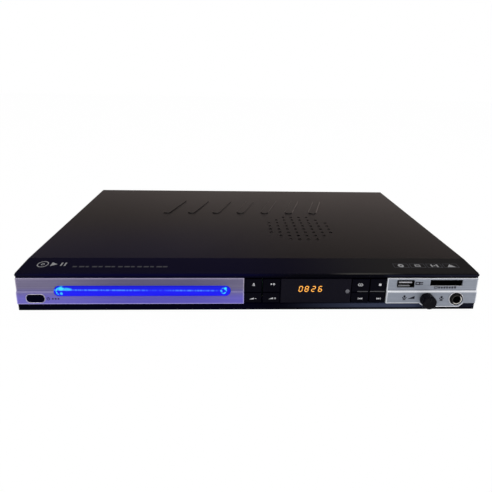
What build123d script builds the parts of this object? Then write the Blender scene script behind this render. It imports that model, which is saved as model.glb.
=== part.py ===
"""Slim disc player with a motor-driven tray.

Millimetres, +Z up, the front towards -Y, +X to the right seen from the front.
The origin is at the bottom centre of the whole player, on the surface it stands on.
"""
import os
from math import atan2, cos, degrees, pi, radians, sin

from build123d import *

# Widths along the front, from the left end to the right end
power_margin = 7.65
power_width = 13.9
power_to_door = 7.5
door_overlap = 5.0
door_to_panel = 10.75
panel_gap = 1.0
key_widths = {"left": (13.2, 13.8), "right": (14.1, 12.6)}
column_gap = 0.8
lens_width = 56.5
panel_to_plate = 1.2
right_plate_width = 74.6

# Heights and depths of the case
case_top = 38.0
foot_height = 4.0
rear_face = 109.75
seam_y = -88.25
sheet = 0.8
fit_gap = 0.3
contact_gap = 0.07
tap_play = 0.05

# Front moulding
nose_y = -112.25
nose_top = 36.1
nose_tip_height = 3.8
nose_lean = 1.3
side_bend = 1.4
bezel_face = -109.75
bezel_wall = 2.5
bezel_skin = 2.0
strip_top = 9.7
strip_face = -111.75
strip_chamfer = 1.2
strip_bevel = 0.5
tongue_depth = 5.0
tab_gap = 0.15

# Silver front plates
fascia_top = 31.5
ledge_z = 20.0
ledge_slope = 1.2
fascia_thick = 1.0
fascia_step = 1.0

# Disc tray and its slot
slot_z = 20.75
door_height = 8.1
door_thick = 2.6
door_face = -111.85
tray_width = 128.0
tray_bottom = 16.6
tray_top = 24.6
disc_y = -43.0
disc_diameter = 120.0
small_disc_diameter = 80.0
disc_floor = 20.3
disc_rim_gap = 0.75
small_disc_drop = 0.7
tray_lip = 6.0
tray_slot_width = 38.0
rack_module = 1.0
travel_teeth = 42
rack_height = 2.2

# Keys, display and the black centre panel
key_bottom = 10.1
key_split = 19.35
key_gap = 0.4
key_face = -111.25
key_thick = 3.0
key_travel = 0.6
key_stem = 3.0
key_edge = 0.35
key_chamfer = 0.3
switch_body = 3.5
press_room = 0.1
switch_width = 6.0
lens_thick = 1.4
display_inset = 24.4
display_z = 22.6
display_size = (34.0, 14.0)
receiver_inset = 2.9
receiver_z = 20.3
receiver_diameter = 3.5
receiver_dome = 0.9
dome_taper = 30.0

# Power button
power_z = 14.6
power_height = 6.6
power_corner = 3.1
power_travel = 2.5
power_face = -112.05
button_depth = 4.0
push_rod = 4.0
push_rod_length = 8.0
switch_size = (14.0, 18.0, 12.0)

# Sockets of the right-hand plate
usb_inset = 15.0
usb_z = 26.75
usb_size = (13.6, 5.7)
usb_wall = 0.5
usb_tongue_size = (10.6, 1.9)
usb_tongue_back = 1.4
card_inset = 48.65
card_z = 27.25
card_slot = (26.8, 5.6)
card_wall = 1.0
card_case_rear = -84.0
card_throat = 20.0
jack_inset = 57.75
jack_z = 13.7
jack_collar = 10.5
jack_bore = 6.5
jack_reach = 1.2
jack_length = 18.0
jack_bore_length = 16.0
jack_body = 12.0
receiver_body = (5.6, 4.0, 7.0)
usb_face = -111.6
knob_inset = 32.7
knob_z = 14.05
knob_diameter = 11.3
knob_front = -119.75
knob_bore = 6.1
knob_flutes = 18
flute_radius = 0.55
knob_taper = 4.0
pot_shaft = 6.0
pot_size = (14.0, 7.0, 11.0)
knob_grip = 5.5
tab_bottom = 6.3
tab_insets = (27.4, 32.6, 61.0, 64.4)

# Front circuit board
board_thick = 1.6
front_board_y = -98.0
front_board_left = 3.8
front_board_right = 6.0
front_board_z = (8.6, 33.0)

post_diameter = 5.0
lens_posts = [(2.6, 30.0), (2.6, 11.6), (49.6, 11.6)]
plate_posts = [(3.1, 29.5), (66.0, 21.5)]
lamp_diameter = 3.0

# Chassis
flange_height = 9.0
boss_diameter = 6.0
boss_height = 6.0
screw_shank = 2.6
screw_hole = 3.0
screw_head = 5.6
screw_head_height = 1.8
foot_diameter = 22.0
foot_inset = 34.0
foot_y = 84.0
foot_chamfer = 0.8
cover_screw_head = 1.6
cover_screw_length = 5.0
vent_pitch = 8.4
vent_diameter = 3.0
vent_offset = 2.4
vent_y = -18.4
vent_rows = (4, 6, 8, 8, 8, 8, 6, 4)

# Circuit boards on the chassis pillars
main_board_width = 100.0
board_to_loader = 12.95
main_board_y = (20.0, 104.0)
power_board_width = 64.0
power_board_margin = 8.0
power_board_y = (-40.0, 100.0)
pillar_inset = 5.0

# Rear sockets
sleeve_reach = 10.0
sleeve_diameter = 8.3
sleeve_wall = 0.6
sleeve_step = 0.25
sleeve_columns = 4
sleeve_pitch = 18.0
sleeve_rows_z = (16.0, 25.4)
sleeve_collar = 9.6
sleeve_pin_hole = 3.4
sleeve_core_back = 0.5
jack_block_depth = 13.0
gland_inset = 34.0
gland_z = 18.0
gland_neck = 10.0
gland_flange = 15.0
gland_tip = 9.0
cord_hole = 6.4
panel_slot_size = (3.0, 14.0)
panel_slot_pitch = 7.0
panel_slot_count = 6
panel_slot_inset = 66.0
panel_slot_z = 22.0
collar_reach = 4.0
sleeve_seat = 4.0
jack_block_top = 33.0
gland_lip = 2.0

# Parts on the boards: place from the board's front left corner, size, height
chips = [
    ((52.0, 28.0), (22.0, 22.0), 2.2),
    ((20.0, 20.0), (18.0, 10.0), 2.6),
    ((82.0, 22.0), (16.0, 9.0), 2.6),
    ((24.0, 48.0), (7.0, 6.0), 1.8),
    ((84.0, 50.0), (12.0, 8.0), 5.0),
]
transformer_place = (32.0, 72.0)
transformer_core = (22.0, 26.0, 18.0)
transformer_coil = (28.0, 16.0, 15.0)
capacitor_list = [
    ((14.0, 108.0), 18.0, 22.0),
    ((52.0, 24.0), 10.0, 16.0),
    ((38.0, 22.0), 10.0, 16.0),
    ((24.0, 22.0), 8.0, 12.0),
]
heat_sink_place = (14.0, 44.0)
heat_sink_size = (22.0, 10.0, 20.0)
heat_sink_fins = 4
heat_sink_pitch = 6.0
ribbon_inset = 28.0
ribbon_width = 20.0
ribbon_z = 24.0
ribbon_thick = 0.6
ribbon_bend = 5.0

# Loader frame
loader_side = 9.0
loader_y = (-104.0, 62.0)
loader_wall = 2.5
loader_top = 27.0
loader_floor = 1.5
post_wall = 3.0
screw_seat = 1.0
loader_foot_inset = 6.0
rail_width = 9.0
rail_top = 16.4
loader_window_sides = (-40.05, 49.95)
loader_window_y = (-74.0, 42.0)

# Tray drive: motor, belt, pulley gear and tray gear
drive_y = -87.0
tray_gear_offset = -42.05
gear_low_z = 12.6
gear_high_z = 14.6
gear_high_top = 18.4
large_teeth = 24
pinion_teeth = 8
rack_gear_teeth = 12
tooth_play = 0.25
gear_pin = 3.0
gear_pin_rise = 1.0
gear_addendum = 0.85
gear_dedendum = 1.1
tooth_root_share = 0.36
tooth_tip_share = 0.14
tray_rack_back = 1.6
gear_play = 0.05
pulley_radius = 8.5
pulley_top = 16.2
motor_offset = 15.95
motor_pulley_radius = 2.8
belt_radius = 0.6
motor_diameter = 20.0
motor_bottom = 5.0
motor_top = 14.2
motor_shaft = 2.0

# Traverse, the tilting frame with the turntable and the pickup
pivot_y = 36.0
pivot_radius = 2.0
plate_z = 13.4
plate_thick = 1.5
plate_sides = (-34.05, 45.95)
plate_y = (-66.0, 32.0)
pickup_window = (36.0, 57.0)
pickup_window_y = -1.5
tilt_angle = 3.2
spindle_motor_diameter = 24.0
spindle_motor_bottom = 10.2
spindle_shaft = 2.0
turntable_diameter = 26.0
turntable_top = 22.3
turntable_stem = 10.0
turntable_rim = 1.5
cone_diameter = 14.8
cone_tip = 8.0
cone_top = 24.1
rod_radius = 1.5
rod_offset = 22.0
rod_z = 11.6
rod_lug = 3.0
rod_lug_width = 5.0
rod_ends = (-31.0, 29.0)
sled_length = 20.0
sled_width = 52.0
sled_front = -29.0
sled_height = 3.5
sled_teeth = 22
sled_module = 0.5
sled_gear_teeth = 20
sled_gear_offset = 31.95
sled_gear_y = -2.0
sled_gear_height = 2.4
sled_rack_z = 9.8
lens_y = -20.0
lens_holder = (14.0, 12.0)
lens_diameter = 6.4
cam_length = 68.0
cam_thick = 3.0
cam_z = (7.4, 16.2)
cam_travel = 12.0
cam_offset = -30.5
cam_flange = 4.5
cam_motor_gap = 0.8
cam_pin_radius = 1.0
cam_slot_play = 0.3
cam_flange_height = 1.4
pin_reach = 7.0
pivot_web = 30.0
plate_hole = 6.0
rack_back = 2.3
sled_play = 0.12
lens_rise = 1.0
lens_taper = 20.0
worm_offset = 39.35
worm_length = 18.0
worm_diameter = 3.0
sled_motor_size = (10.0, 16.0, 6.0)

# Clamp over the turntable
bridge_thick = 1.0
bridge_width = 38.0
bridge_hole = 24.0
clamper_bottom = 24.9
clamper_disc = 22.6
clamper_flange = 30.0
clamper_top = 30.2
clamper_lift = 0.2

# Pressed ribs and screws of the cover
cover_bottom = 5.0
cover_fold = 7.0
rib_count = 7
rib_pitch = 27.0
rib_size = (50.0, 9.0)
rib_height = 0.6
rib_taper = 45.0
rib_tilt = 72.0
rib_y = 46.0
side_screw_y = (-60.0, 80.0)
side_screw_z = 10.0
rear_screw_inset = 34.0
rear_screw_z = 34.0

# Places along the front
door_length = tray_width + 2 * door_overlap
loader_half_width = tray_width / 2 + loader_side
left_group = power_margin + power_width + power_to_door + door_length + door_to_panel
key_group = {side: sum(widths) + column_gap for side, widths in key_widths.items()}
panel_width = key_group["left"] + lens_width + key_group["right"] + 2 * column_gap
case_width = left_group + panel_gap + panel_width + panel_to_plate + right_plate_width
half_width = case_width / 2
power_x = -half_width + power_margin + power_width / 2
slot_x = -half_width + power_margin + power_width + power_to_door + door_length / 2
left_plate_end = -half_width + left_group
right_plate_start = half_width - right_plate_width
lens_left = left_plate_end + panel_gap + key_group["left"] + column_gap
lens_right = lens_left + lens_width
key_starts = {"left": left_plate_end + panel_gap, "right": lens_right + column_gap}
key_columns = {}
for side, start in key_starts.items():
    first, second = key_widths[side]
    second_start = start + first + column_gap
    key_columns[side] = [(start, start + first), (second_start, second_start + second)]
display_x = lens_left + display_inset
receiver_x = lens_right - receiver_inset
usb_x = right_plate_start + usb_inset
card_x = right_plate_start + card_inset
jack_x = right_plate_start + jack_inset
knob_x = right_plate_start + knob_inset
tab_points_x = [right_plate_start + inset for inset in tab_insets]
front_board_x = (key_starts["left"] - front_board_left, half_width - front_board_right)
post_places = [(lens_left + x, z) for x, z in lens_posts]
post_places += [(right_plate_start + x, z) for x, z in plate_posts]
power_size = (power_width, power_height)

# Places inside the case
loader_x = (slot_x - loader_half_width, slot_x + loader_half_width)
loader_window_x = (slot_x + loader_window_sides[0], slot_x + loader_window_sides[1])
plate_x = (slot_x + plate_sides[0], slot_x + plate_sides[1])
tray_gear_x = slot_x + tray_gear_offset
motor_x = slot_x + motor_offset
sled_gear_x = slot_x + sled_gear_offset
cam_x = slot_x + cam_offset
worm_x = slot_x + worm_offset
main_board_x = (loader_x[1] + board_to_loader, loader_x[1] + board_to_loader + main_board_width)
power_board_x = (half_width - power_board_margin - power_board_width, half_width - power_board_margin)
sleeve_x = sum(main_board_x) / 2
vent_x = sleeve_x + vent_offset
ribbon_x = main_board_x[0] + ribbon_inset
rear_reach = rear_face + sleeve_reach
gland_x = half_width - gland_inset
panel_slot_x = half_width - panel_slot_inset
foot_x = half_width - foot_inset
rear_screw_x = (rear_screw_inset - half_width, 0.0, half_width - rear_screw_inset)
plate_back = bezel_face + bezel_wall
board_front = front_board_y - board_thick
panel_face = rear_face - sheet
floor_top = foot_height + sheet
upper_face = bezel_face - fascia_thick
lower_face = upper_face - fascia_step
slot_height = door_height + 2 * fit_gap
slot_length = door_length + 2 * fit_gap
key_top = fascia_top - key_edge
nose_low = nose_top - nose_tip_height


def front_plane(y):
    """Upright plane at a depth y, drawn as seen from the front: X across, Z up, normal to -Y."""
    return Plane.XZ.offset(-y)


def side_plane(x):
    """Upright plane at a station x: Y across, Z up, normal to +X."""
    return Plane.YZ.offset(x)


def save(builder, name):
    """Names a finished piece and writes it as its own file."""
    builder.part.label = name
    export_step(builder.part, f"parts/{name}.step")


os.makedirs("parts", exist_ok=True)

# Top cover: folded steel, open in front, with a group of vent holes and pressed ribs
vent_points = []
for row, count in enumerate(vent_rows):
    row_y = vent_y + ((len(vent_rows) - 1) / 2 - row) * vent_pitch
    for column in range(count):
        vent_points.append((vent_x + (column - (count - 1) / 2) * vent_pitch, row_y))

with BuildPart() as top_cover:
    with BuildSketch(front_plane(seam_y)):
        with Locations((0, cover_bottom)):
            Rectangle(case_width, case_top - cover_bottom, align=(Align.CENTER, Align.MIN))
            Rectangle(
                case_width - 2 * sheet,
                case_top - cover_bottom - sheet,
                align=(Align.CENTER, Align.MIN),
                mode=Mode.SUBTRACT,
            )
        fillet(vertices().group_by(Axis.Y)[-1], side_bend)
    extrude(amount=seam_y - rear_face)
    with BuildSketch(front_plane(rear_face)):
        with Locations((0, case_top - cover_fold)):
            Rectangle(
                case_width - 2 * side_bend,
                cover_fold - sheet,
                align=(Align.CENTER, Align.MIN),
            )
    extrude(amount=sheet)
    with BuildSketch(Plane.XY.offset(case_top)):
        with Locations(*vent_points):
            Circle(vent_diameter / 2)
    extrude(amount=-sheet, mode=Mode.SUBTRACT)
    with BuildSketch(Plane.XY.offset(case_top)):
        for rib in range(rib_count):
            with Locations(((rib - (rib_count - 1) / 2) * rib_pitch, rib_y)):
                SlotOverall(rib_size[0], rib_size[1], rotation=rib_tilt)
    extrude(amount=rib_height, taper=rib_taper)
    with BuildSketch(front_plane(rear_face)):
        for x in rear_screw_x:
            with Locations((x, rear_screw_z)):
                Circle(screw_hole / 2)
    extrude(amount=sheet, mode=Mode.SUBTRACT)
    with BuildSketch(side_plane(-half_width)):
        for y in side_screw_y:
            with Locations((y, side_screw_z)):
                Circle(screw_hole / 2)
    extrude(amount=case_width, mode=Mode.SUBTRACT)
save(top_cover, "top_cover")

# Chassis: floor with upturned flanges and pillars for the boards and the loader
chassis_half = half_width - sheet - fit_gap
board_z = floor_top + boss_height


def corners_inside(x_range, y_range, inset):
    """The four corners of a rectangle, moved inwards by the inset."""
    xs = (x_range[0] + inset, x_range[1] - inset)
    ys = (y_range[0] + inset, y_range[1] - inset)
    return [(x, y) for x in xs for y in ys]


board_pillars = corners_inside(main_board_x, main_board_y, pillar_inset)
board_pillars += corners_inside(power_board_x, power_board_y, pillar_inset)
loader_pillars = corners_inside(loader_x, loader_y, loader_foot_inset)
foot_places = [(x, y) for x in (-foot_x, foot_x) for y in (-foot_y, foot_y)]

with BuildPart() as chassis_base:
    with BuildSketch(front_plane(seam_y)):
        with Locations((0, foot_height)):
            Rectangle(2 * chassis_half, flange_height, align=(Align.CENTER, Align.MIN))
        with Locations((0, floor_top)):
            Rectangle(
                2 * (chassis_half - sheet),
                flange_height,
                align=(Align.CENTER, Align.MIN),
                mode=Mode.SUBTRACT,
            )
    extrude(amount=seam_y - panel_face + sheet)
    with BuildSketch(Plane.XY.offset(foot_height)):
        with Locations((0, seam_y)):
            Rectangle(
                2 * (half_width - bezel_skin - fit_gap),
                seam_y - plate_back,
                align=(Align.CENTER, Align.MAX),
            )
        with Locations((0, panel_face)):
            Rectangle(2 * chassis_half, 2 * sheet, align=(Align.CENTER, Align.MAX))
    extrude(amount=sheet)
    with BuildSketch(Plane.XY.offset(floor_top)):
        with Locations(*board_pillars, *loader_pillars):
            Circle(boss_diameter / 2)
    extrude(amount=boss_height)
    with BuildSketch(Plane.XY.offset(board_z)):
        with Locations(*board_pillars, *loader_pillars):
            Circle(screw_shank / 2 + tap_play)
    extrude(amount=-boss_height + sheet, mode=Mode.SUBTRACT)
    with BuildSketch(side_plane(-chassis_half)):
        for y in side_screw_y:
            with Locations((y, side_screw_z)):
                Circle(screw_shank / 2 + tap_play)
    extrude(amount=2 * chassis_half, mode=Mode.SUBTRACT)
save(chassis_base, "chassis_base")

# Rear panel: upright steel sheet with the socket holes, the gland's hole and cooling slots
sleeve_points = []
for row_z in sleeve_rows_z:
    for column in range(sleeve_columns):
        sleeve_points.append((sleeve_x + (column - (sleeve_columns - 1) / 2) * sleeve_pitch, row_z))

with BuildPart() as rear_panel:
    with BuildSketch(front_plane(panel_face)):
        with Locations((0, floor_top)):
            Rectangle(
                2 * (half_width - sheet - fit_gap),
                case_top - sheet - floor_top,
                align=(Align.CENTER, Align.MIN),
            )
        with Locations(*sleeve_points):
            Circle(sleeve_collar / 2 + fit_gap, mode=Mode.SUBTRACT)
        with Locations((gland_x, gland_z)):
            Circle(gland_neck / 2 + fit_gap / 2, mode=Mode.SUBTRACT)
        for x in rear_screw_x:
            with Locations((x, rear_screw_z)):
                Circle(screw_shank / 2 + tap_play, mode=Mode.SUBTRACT)
        with Locations((panel_slot_x, panel_slot_z)):
            with GridLocations(panel_slot_pitch, panel_slot_pitch, panel_slot_count, 1):
                SlotOverall(panel_slot_size[1], panel_slot_size[0], rotation=90, mode=Mode.SUBTRACT)
    extrude(amount=sheet)
save(rear_panel, "rear_panel")

# Front moulding: sloping top with an overhanging nose, upright plate, side cheeks and base strip
def top_at(y):
    """Height of the sloping top of the moulding."""
    return case_top - (case_top - nose_top) * (seam_y - y) / (seam_y - nose_y)


tab_outline = [
    (tab_points_x[0], strip_top),
    (tab_points_x[1], tab_bottom),
    (tab_points_x[2], tab_bottom),
    (tab_points_x[3], strip_top),
]
key_windows = [(columns[0][0], columns[-1][1]) for columns in key_columns.values()]


def bend_sides(piece):
    """Rounds the two long side edges of a piece's top face."""
    sides = piece.faces().sort_by(Axis.Z)[-1].edges().sort_by(Axis.X)
    fillet([sides[0], sides[-1]], side_bend)


# The tip of the nose leans back and inwards towards the groove below it
sloping_top = Plane(
    (0, nose_y, nose_top),
    x_dir=(1, 0, 0),
    z_dir=(0, nose_top - case_top, seam_y - nose_y),
)
tip_depth = plate_back - nose_y - nose_lean

with BuildPart() as nose_tip:
    with BuildSketch(Plane.XY.offset(nose_low)):
        with Locations((0, nose_y + nose_lean)):
            Rectangle(case_width - 2 * nose_lean, tip_depth - nose_lean, align=(Align.CENTER, Align.MIN))
    with BuildSketch(sloping_top):
        Rectangle(case_width, tip_depth, align=(Align.CENTER, Align.MIN))
    loft()
    bend_sides(nose_tip)

with BuildPart() as front_bezel:
    with BuildSketch(side_plane(-half_width)):
        with BuildLine():
            Polyline(
                (seam_y, case_top),
                (bezel_face, top_at(bezel_face)),
                (bezel_face, strip_top),
                (strip_face, strip_top),
                (strip_face, foot_height + strip_bevel),
                (strip_face + strip_bevel, foot_height),
                (plate_back, foot_height),
                (plate_back, top_at(plate_back) - bezel_skin),
                (seam_y, case_top - bezel_skin),
                close=True,
            )
        make_face()
    extrude(amount=case_width)
    bend_sides(front_bezel)
    add(nose_tip.part)
    with BuildSketch(side_plane(-half_width)):
        with BuildLine():
            Polyline(
                (seam_y, case_top - bezel_skin),
                (plate_back, top_at(plate_back) - bezel_skin),
                (plate_back, foot_height),
                (seam_y, foot_height),
                close=True,
            )
        make_face()
    extrude(amount=bezel_skin)
    mirror(about=Plane.YZ)
    with BuildSketch(front_plane(seam_y)):
        with Locations((0, case_top - sheet)):
            Rectangle(
                case_width - 2 * side_bend - 2 * sheet,
                bezel_skin - sheet,
                align=(Align.CENTER, Align.MAX),
            )
    extrude(amount=-tongue_depth)
    with BuildSketch(front_plane(strip_face)):
        with Locations((slot_x, slot_z)):
            SlotOverall(slot_length, slot_height)
        with Locations((power_x, power_z)):
            RectangleRounded(power_size[0] + 2 * fit_gap, power_size[1] + 2 * fit_gap, power_corner)
        for left, right in key_windows:
            with Locations(((left + right) / 2, (key_bottom + key_top) / 2)):
                Rectangle(right - left + 2 * fit_gap, key_top - key_bottom + 2 * fit_gap)
        with Locations((display_x, display_z)):
            Rectangle(display_size[0] + 2 * fit_gap, display_size[1] + 2 * fit_gap)
        with Locations((receiver_x, receiver_z)):
            Circle(receiver_diameter / 2 + fit_gap)
        with Locations((usb_x, usb_z)):
            Rectangle(usb_size[0] + 2 * fit_gap, usb_size[1] + 2 * fit_gap)
        with Locations((card_x, card_z)):
            Rectangle(card_slot[0] + 2 * card_wall, card_slot[1] + 2 * card_wall)
        with Locations((jack_x, jack_z)):
            Circle(jack_collar / 2 + fit_gap)
        with Locations((knob_x, knob_z)):
            Circle(pot_shaft / 2 + 2 * fit_gap)
    extrude(amount=strip_face - plate_back, mode=Mode.SUBTRACT)
    with BuildSketch(front_plane(strip_face)):
        with BuildLine():
            Polyline(*tab_outline, close=True)
        make_face()
        offset(amount=tab_gap)
    extrude(amount=strip_face - bezel_face, mode=Mode.SUBTRACT)
    with BuildSketch(front_plane(plate_back)):
        with Locations(*post_places):
            Circle(post_diameter / 2)
    extrude(amount=plate_back - board_front)
    with BuildSketch(front_plane(board_front)):
        with Locations(*post_places):
            Circle(screw_shank / 2 + tap_play)
    extrude(amount=board_front - plate_back, mode=Mode.SUBTRACT)
    upright_edges = front_bezel.edges().filter_by(Axis.Z)
    strip_edges = upright_edges.filter_by_position(Axis.Y, strip_face - fit_gap, strip_face + contact_gap)
    chamfer(strip_edges.group_by(Axis.X)[0] + strip_edges.group_by(Axis.X)[-1], strip_chamfer)
save(front_bezel, "front_bezel")


def front_plate(left, right):
    """Silver plate between two stations: a flat upper half, a sloping ledge, a thicker lower half."""
    with BuildSketch(side_plane(left)) as section:
        with BuildLine():
            Polyline(
                (bezel_face, fascia_top),
                (upper_face, fascia_top),
                (upper_face, ledge_z + ledge_slope / 2),
                (lower_face, ledge_z - ledge_slope / 2),
                (lower_face, strip_top),
                (bezel_face, strip_top),
                close=True,
            )
        make_face()
    return extrude(section.sketch, amount=right - left, mode=Mode.PRIVATE)


left_plate = front_plate(-half_width, left_plate_end)
right_plate = front_plate(right_plate_start, half_width)

with BuildPart() as fascia_left:
    add(left_plate)
    with BuildSketch(front_plane(lower_face)):
        with Locations((slot_x, slot_z)):
            SlotOverall(slot_length, slot_height)
        with Locations((power_x, power_z)):
            RectangleRounded(power_size[0] + 2 * fit_gap, power_size[1] + 2 * fit_gap, power_corner)
    extrude(amount=lower_face - bezel_face, mode=Mode.SUBTRACT)
save(fascia_left, "fascia_left")

with BuildPart() as fascia_right:
    add(right_plate)
    with BuildSketch(front_plane(lower_face)):
        with BuildLine():
            Polyline(*tab_outline, close=True)
        make_face()
    extrude(amount=lower_face - bezel_face)
    with BuildSketch(front_plane(lower_face)):
        with Locations((usb_x, usb_z)):
            Rectangle(usb_size[0] + 2 * fit_gap, usb_size[1] + 2 * fit_gap)
        with Locations((card_x, card_z)):
            Rectangle(card_slot[0], card_slot[1])
        with Locations((jack_x, jack_z)):
            Circle(jack_collar / 2 + fit_gap / 2)
        with Locations((knob_x, knob_z)):
            Circle(pot_shaft / 2 + 2 * fit_gap)
    extrude(amount=lower_face - bezel_face, mode=Mode.SUBTRACT)
save(fascia_right, "fascia_right")

with BuildPart() as display_lens:
    with BuildSketch(front_plane(bezel_face)):
        with Locations(((lens_left + lens_right) / 2, (key_bottom + key_top) / 2)):
            Rectangle(lens_right - lens_left, key_top - key_bottom)
    extrude(amount=lens_thick)
save(display_lens, "display_lens")

# Keys: two to a column, each a cap in the window with a stem behind it that works a switch
stem_end = board_front - switch_body - key_travel - press_room
key_names = {
    ("left", 0): ("key_eject", "key_volume_down"),
    ("left", 1): ("key_play", "key_volume_up"),
    ("right", 0): ("key_channel", "key_previous"),
    ("right", 1): ("key_stop", "key_next"),
}
key_spans = {0: (key_split + key_gap / 2, key_top), 1: (key_bottom, key_split - key_gap / 2)}
key_places = []
for (side, column), names in key_names.items():
    left, right = key_columns[side][column]
    for row, name in enumerate(names):
        low, high = key_spans[row]
        centre = ((left + right) / 2, (low + high) / 2)
        key_places.append(centre)
        with BuildPart() as key:
            with BuildSketch(front_plane(key_face)):
                with Locations(centre):
                    Rectangle(right - left, high - low)
            extrude(amount=-key_thick)
            chamfer(key.faces().sort_by(Axis.Y)[0].edges(), key_chamfer)
            with BuildSketch(front_plane(key_face + key_thick)):
                with Locations(centre):
                    Circle(key_stem / 2)
            extrude(amount=key_face + key_thick - stem_end)
        save(key, name)

# Power button: cap in the left plate with a push rod that ends at the mains switch
switch_front = power_face + button_depth + push_rod_length + power_travel + press_room

with BuildPart() as power_button:
    with BuildSketch(front_plane(power_face)):
        with Locations((power_x, power_z)):
            RectangleRounded(power_size[0], power_size[1], power_corner)
    extrude(amount=-button_depth)
    chamfer(power_button.faces().sort_by(Axis.Y)[0].edges(), key_chamfer)
    with BuildSketch(front_plane(power_face + button_depth)):
        with Locations((power_x, power_z)):
            Rectangle(push_rod, push_rod)
    extrude(amount=-push_rod_length)
save(power_button, "power_button")

with BuildPart() as mains_switch:
    with BuildSketch(front_plane(switch_front)):
        with Locations((power_x, power_z)):
            Rectangle(switch_size[0], switch_size[2])
        with Locations((power_x, floor_top)):
            Rectangle(
                switch_size[0] - 2 * sheet,
                power_z - floor_top,
                align=(Align.CENTER, Align.MIN),
            )
    extrude(amount=-switch_size[1])
save(mains_switch, "mains_switch")

# Front circuit board with its holes, and what stands on it
with BuildPart() as front_board:
    with BuildSketch(front_plane(board_front)):
        with Locations((front_board_x[0], front_board_z[0])):
            Rectangle(
                front_board_x[1] - front_board_x[0],
                front_board_z[1] - front_board_z[0],
                align=(Align.MIN, Align.MIN),
            )
        with Locations((card_x, card_z)):
            Rectangle(
                card_slot[0] + 2 * card_wall + 2 * fit_gap,
                card_slot[1] + 2 * card_wall + 2 * fit_gap,
                mode=Mode.SUBTRACT,
            )
        with Locations((jack_x, jack_z)):
            Circle(jack_collar / 2 + fit_gap / 2, mode=Mode.SUBTRACT)
        with Locations(*post_places):
            Circle(screw_hole / 2, mode=Mode.SUBTRACT)
    extrude(amount=-board_thick)
save(front_board, "front_board")

with BuildPart() as key_switches:
    with BuildSketch(front_plane(board_front)):
        with Locations(*key_places):
            Rectangle(switch_width, switch_width)
    extrude(amount=switch_body)
save(key_switches, "key_switches")

with BuildPart() as display_module:
    with BuildSketch(front_plane(board_front)):
        with Locations((display_x, display_z)):
            Rectangle(display_size[0], display_size[1])
    extrude(amount=board_front - bezel_face)
save(display_module, "display_module")

with BuildPart() as ir_receiver:
    with BuildSketch(front_plane(board_front)):
        with Locations((receiver_x, receiver_z)):
            Rectangle(receiver_body[0], receiver_body[2])
    extrude(amount=receiver_body[1])
    with BuildSketch(front_plane(board_front)):
        with Locations((receiver_x, receiver_z)):
            Circle(receiver_diameter / 2)
    extrude(amount=board_front - bezel_face - receiver_dome)
    with BuildSketch(front_plane(bezel_face + receiver_dome)):
        with Locations((receiver_x, receiver_z)):
            Circle(receiver_diameter / 2)
    extrude(amount=receiver_dome - contact_gap, taper=dome_taper)
save(ir_receiver, "ir_receiver")

with BuildPart() as usb_shell:
    with BuildSketch(front_plane(board_front)):
        with Locations((usb_x, usb_z)):
            Rectangle(usb_size[0], usb_size[1])
    extrude(amount=board_front - usb_face)
    with BuildSketch(front_plane(usb_face)):
        with Locations((usb_x, usb_z)):
            Rectangle(usb_size[0] - 2 * usb_wall, usb_size[1] - 2 * usb_wall)
    extrude(amount=usb_face - board_front + usb_wall, mode=Mode.SUBTRACT)
save(usb_shell, "usb_shell")

with BuildPart() as usb_tongue:
    with BuildSketch(front_plane(board_front - usb_wall)):
        with Locations((usb_x, usb_z + usb_size[1] / 2 - usb_wall - usb_tongue_size[1])):
            Rectangle(usb_tongue_size[0], usb_tongue_size[1])
    extrude(amount=board_front - usb_wall - usb_face - usb_tongue_back)
save(usb_tongue, "usb_tongue")

with BuildPart() as card_reader:
    with BuildSketch(front_plane(bezel_face)):
        with Locations((card_x, card_z)):
            Rectangle(card_slot[0] + 2 * card_wall, card_slot[1] + 2 * card_wall)
    extrude(amount=bezel_face - card_case_rear)
    with BuildSketch(front_plane(bezel_face)):
        with Locations((card_x, card_z)):
            Rectangle(card_slot[0], card_slot[1])
    extrude(amount=-card_throat, mode=Mode.SUBTRACT)
save(card_reader, "card_reader")

jack_front = lower_face - jack_reach
with BuildPart() as mic_jack:
    with BuildSketch(front_plane(jack_front)):
        with Locations((jack_x, jack_z)):
            Circle(jack_collar / 2)
    extrude(amount=-jack_length)
    chamfer(mic_jack.edges().sort_by(Axis.Y)[0], key_chamfer)
    with BuildSketch(front_plane(board_front)):
        with Locations((jack_x, jack_z)):
            Rectangle(jack_body, jack_body)
    extrude(amount=board_front - plate_back)
    with BuildSketch(front_plane(jack_front)):
        with Locations((jack_x, jack_z)):
            Circle(jack_bore / 2)
    extrude(amount=-jack_bore_length, mode=Mode.SUBTRACT)
save(mic_jack, "mic_jack")

knob_back = lower_face - fit_gap
shaft_end = knob_back - knob_grip
with BuildPart() as volume_pot:
    with BuildSketch(front_plane(board_front)):
        with Locations((knob_x, knob_z)):
            Rectangle(pot_size[0], pot_size[2])
    extrude(amount=pot_size[1])
    with BuildSketch(front_plane(board_front)):
        with Locations((knob_x, knob_z)):
            Circle(pot_shaft / 2)
    extrude(amount=board_front - shaft_end)
save(volume_pot, "volume_pot")

with BuildPart() as volume_knob:
    with BuildSketch(front_plane(knob_back)):
        with Locations((knob_x, knob_z)):
            Circle(knob_diameter / 2)
            with PolarLocations(knob_diameter / 2, knob_flutes):
                Circle(flute_radius, mode=Mode.SUBTRACT)
    extrude(amount=knob_back - knob_front, taper=knob_taper)
    with BuildSketch(front_plane(knob_back)):
        with Locations((knob_x, knob_z)):
            Circle(knob_bore / 2)
    extrude(amount=knob_grip + press_room, mode=Mode.SUBTRACT)
save(volume_knob, "volume_knob")


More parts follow.
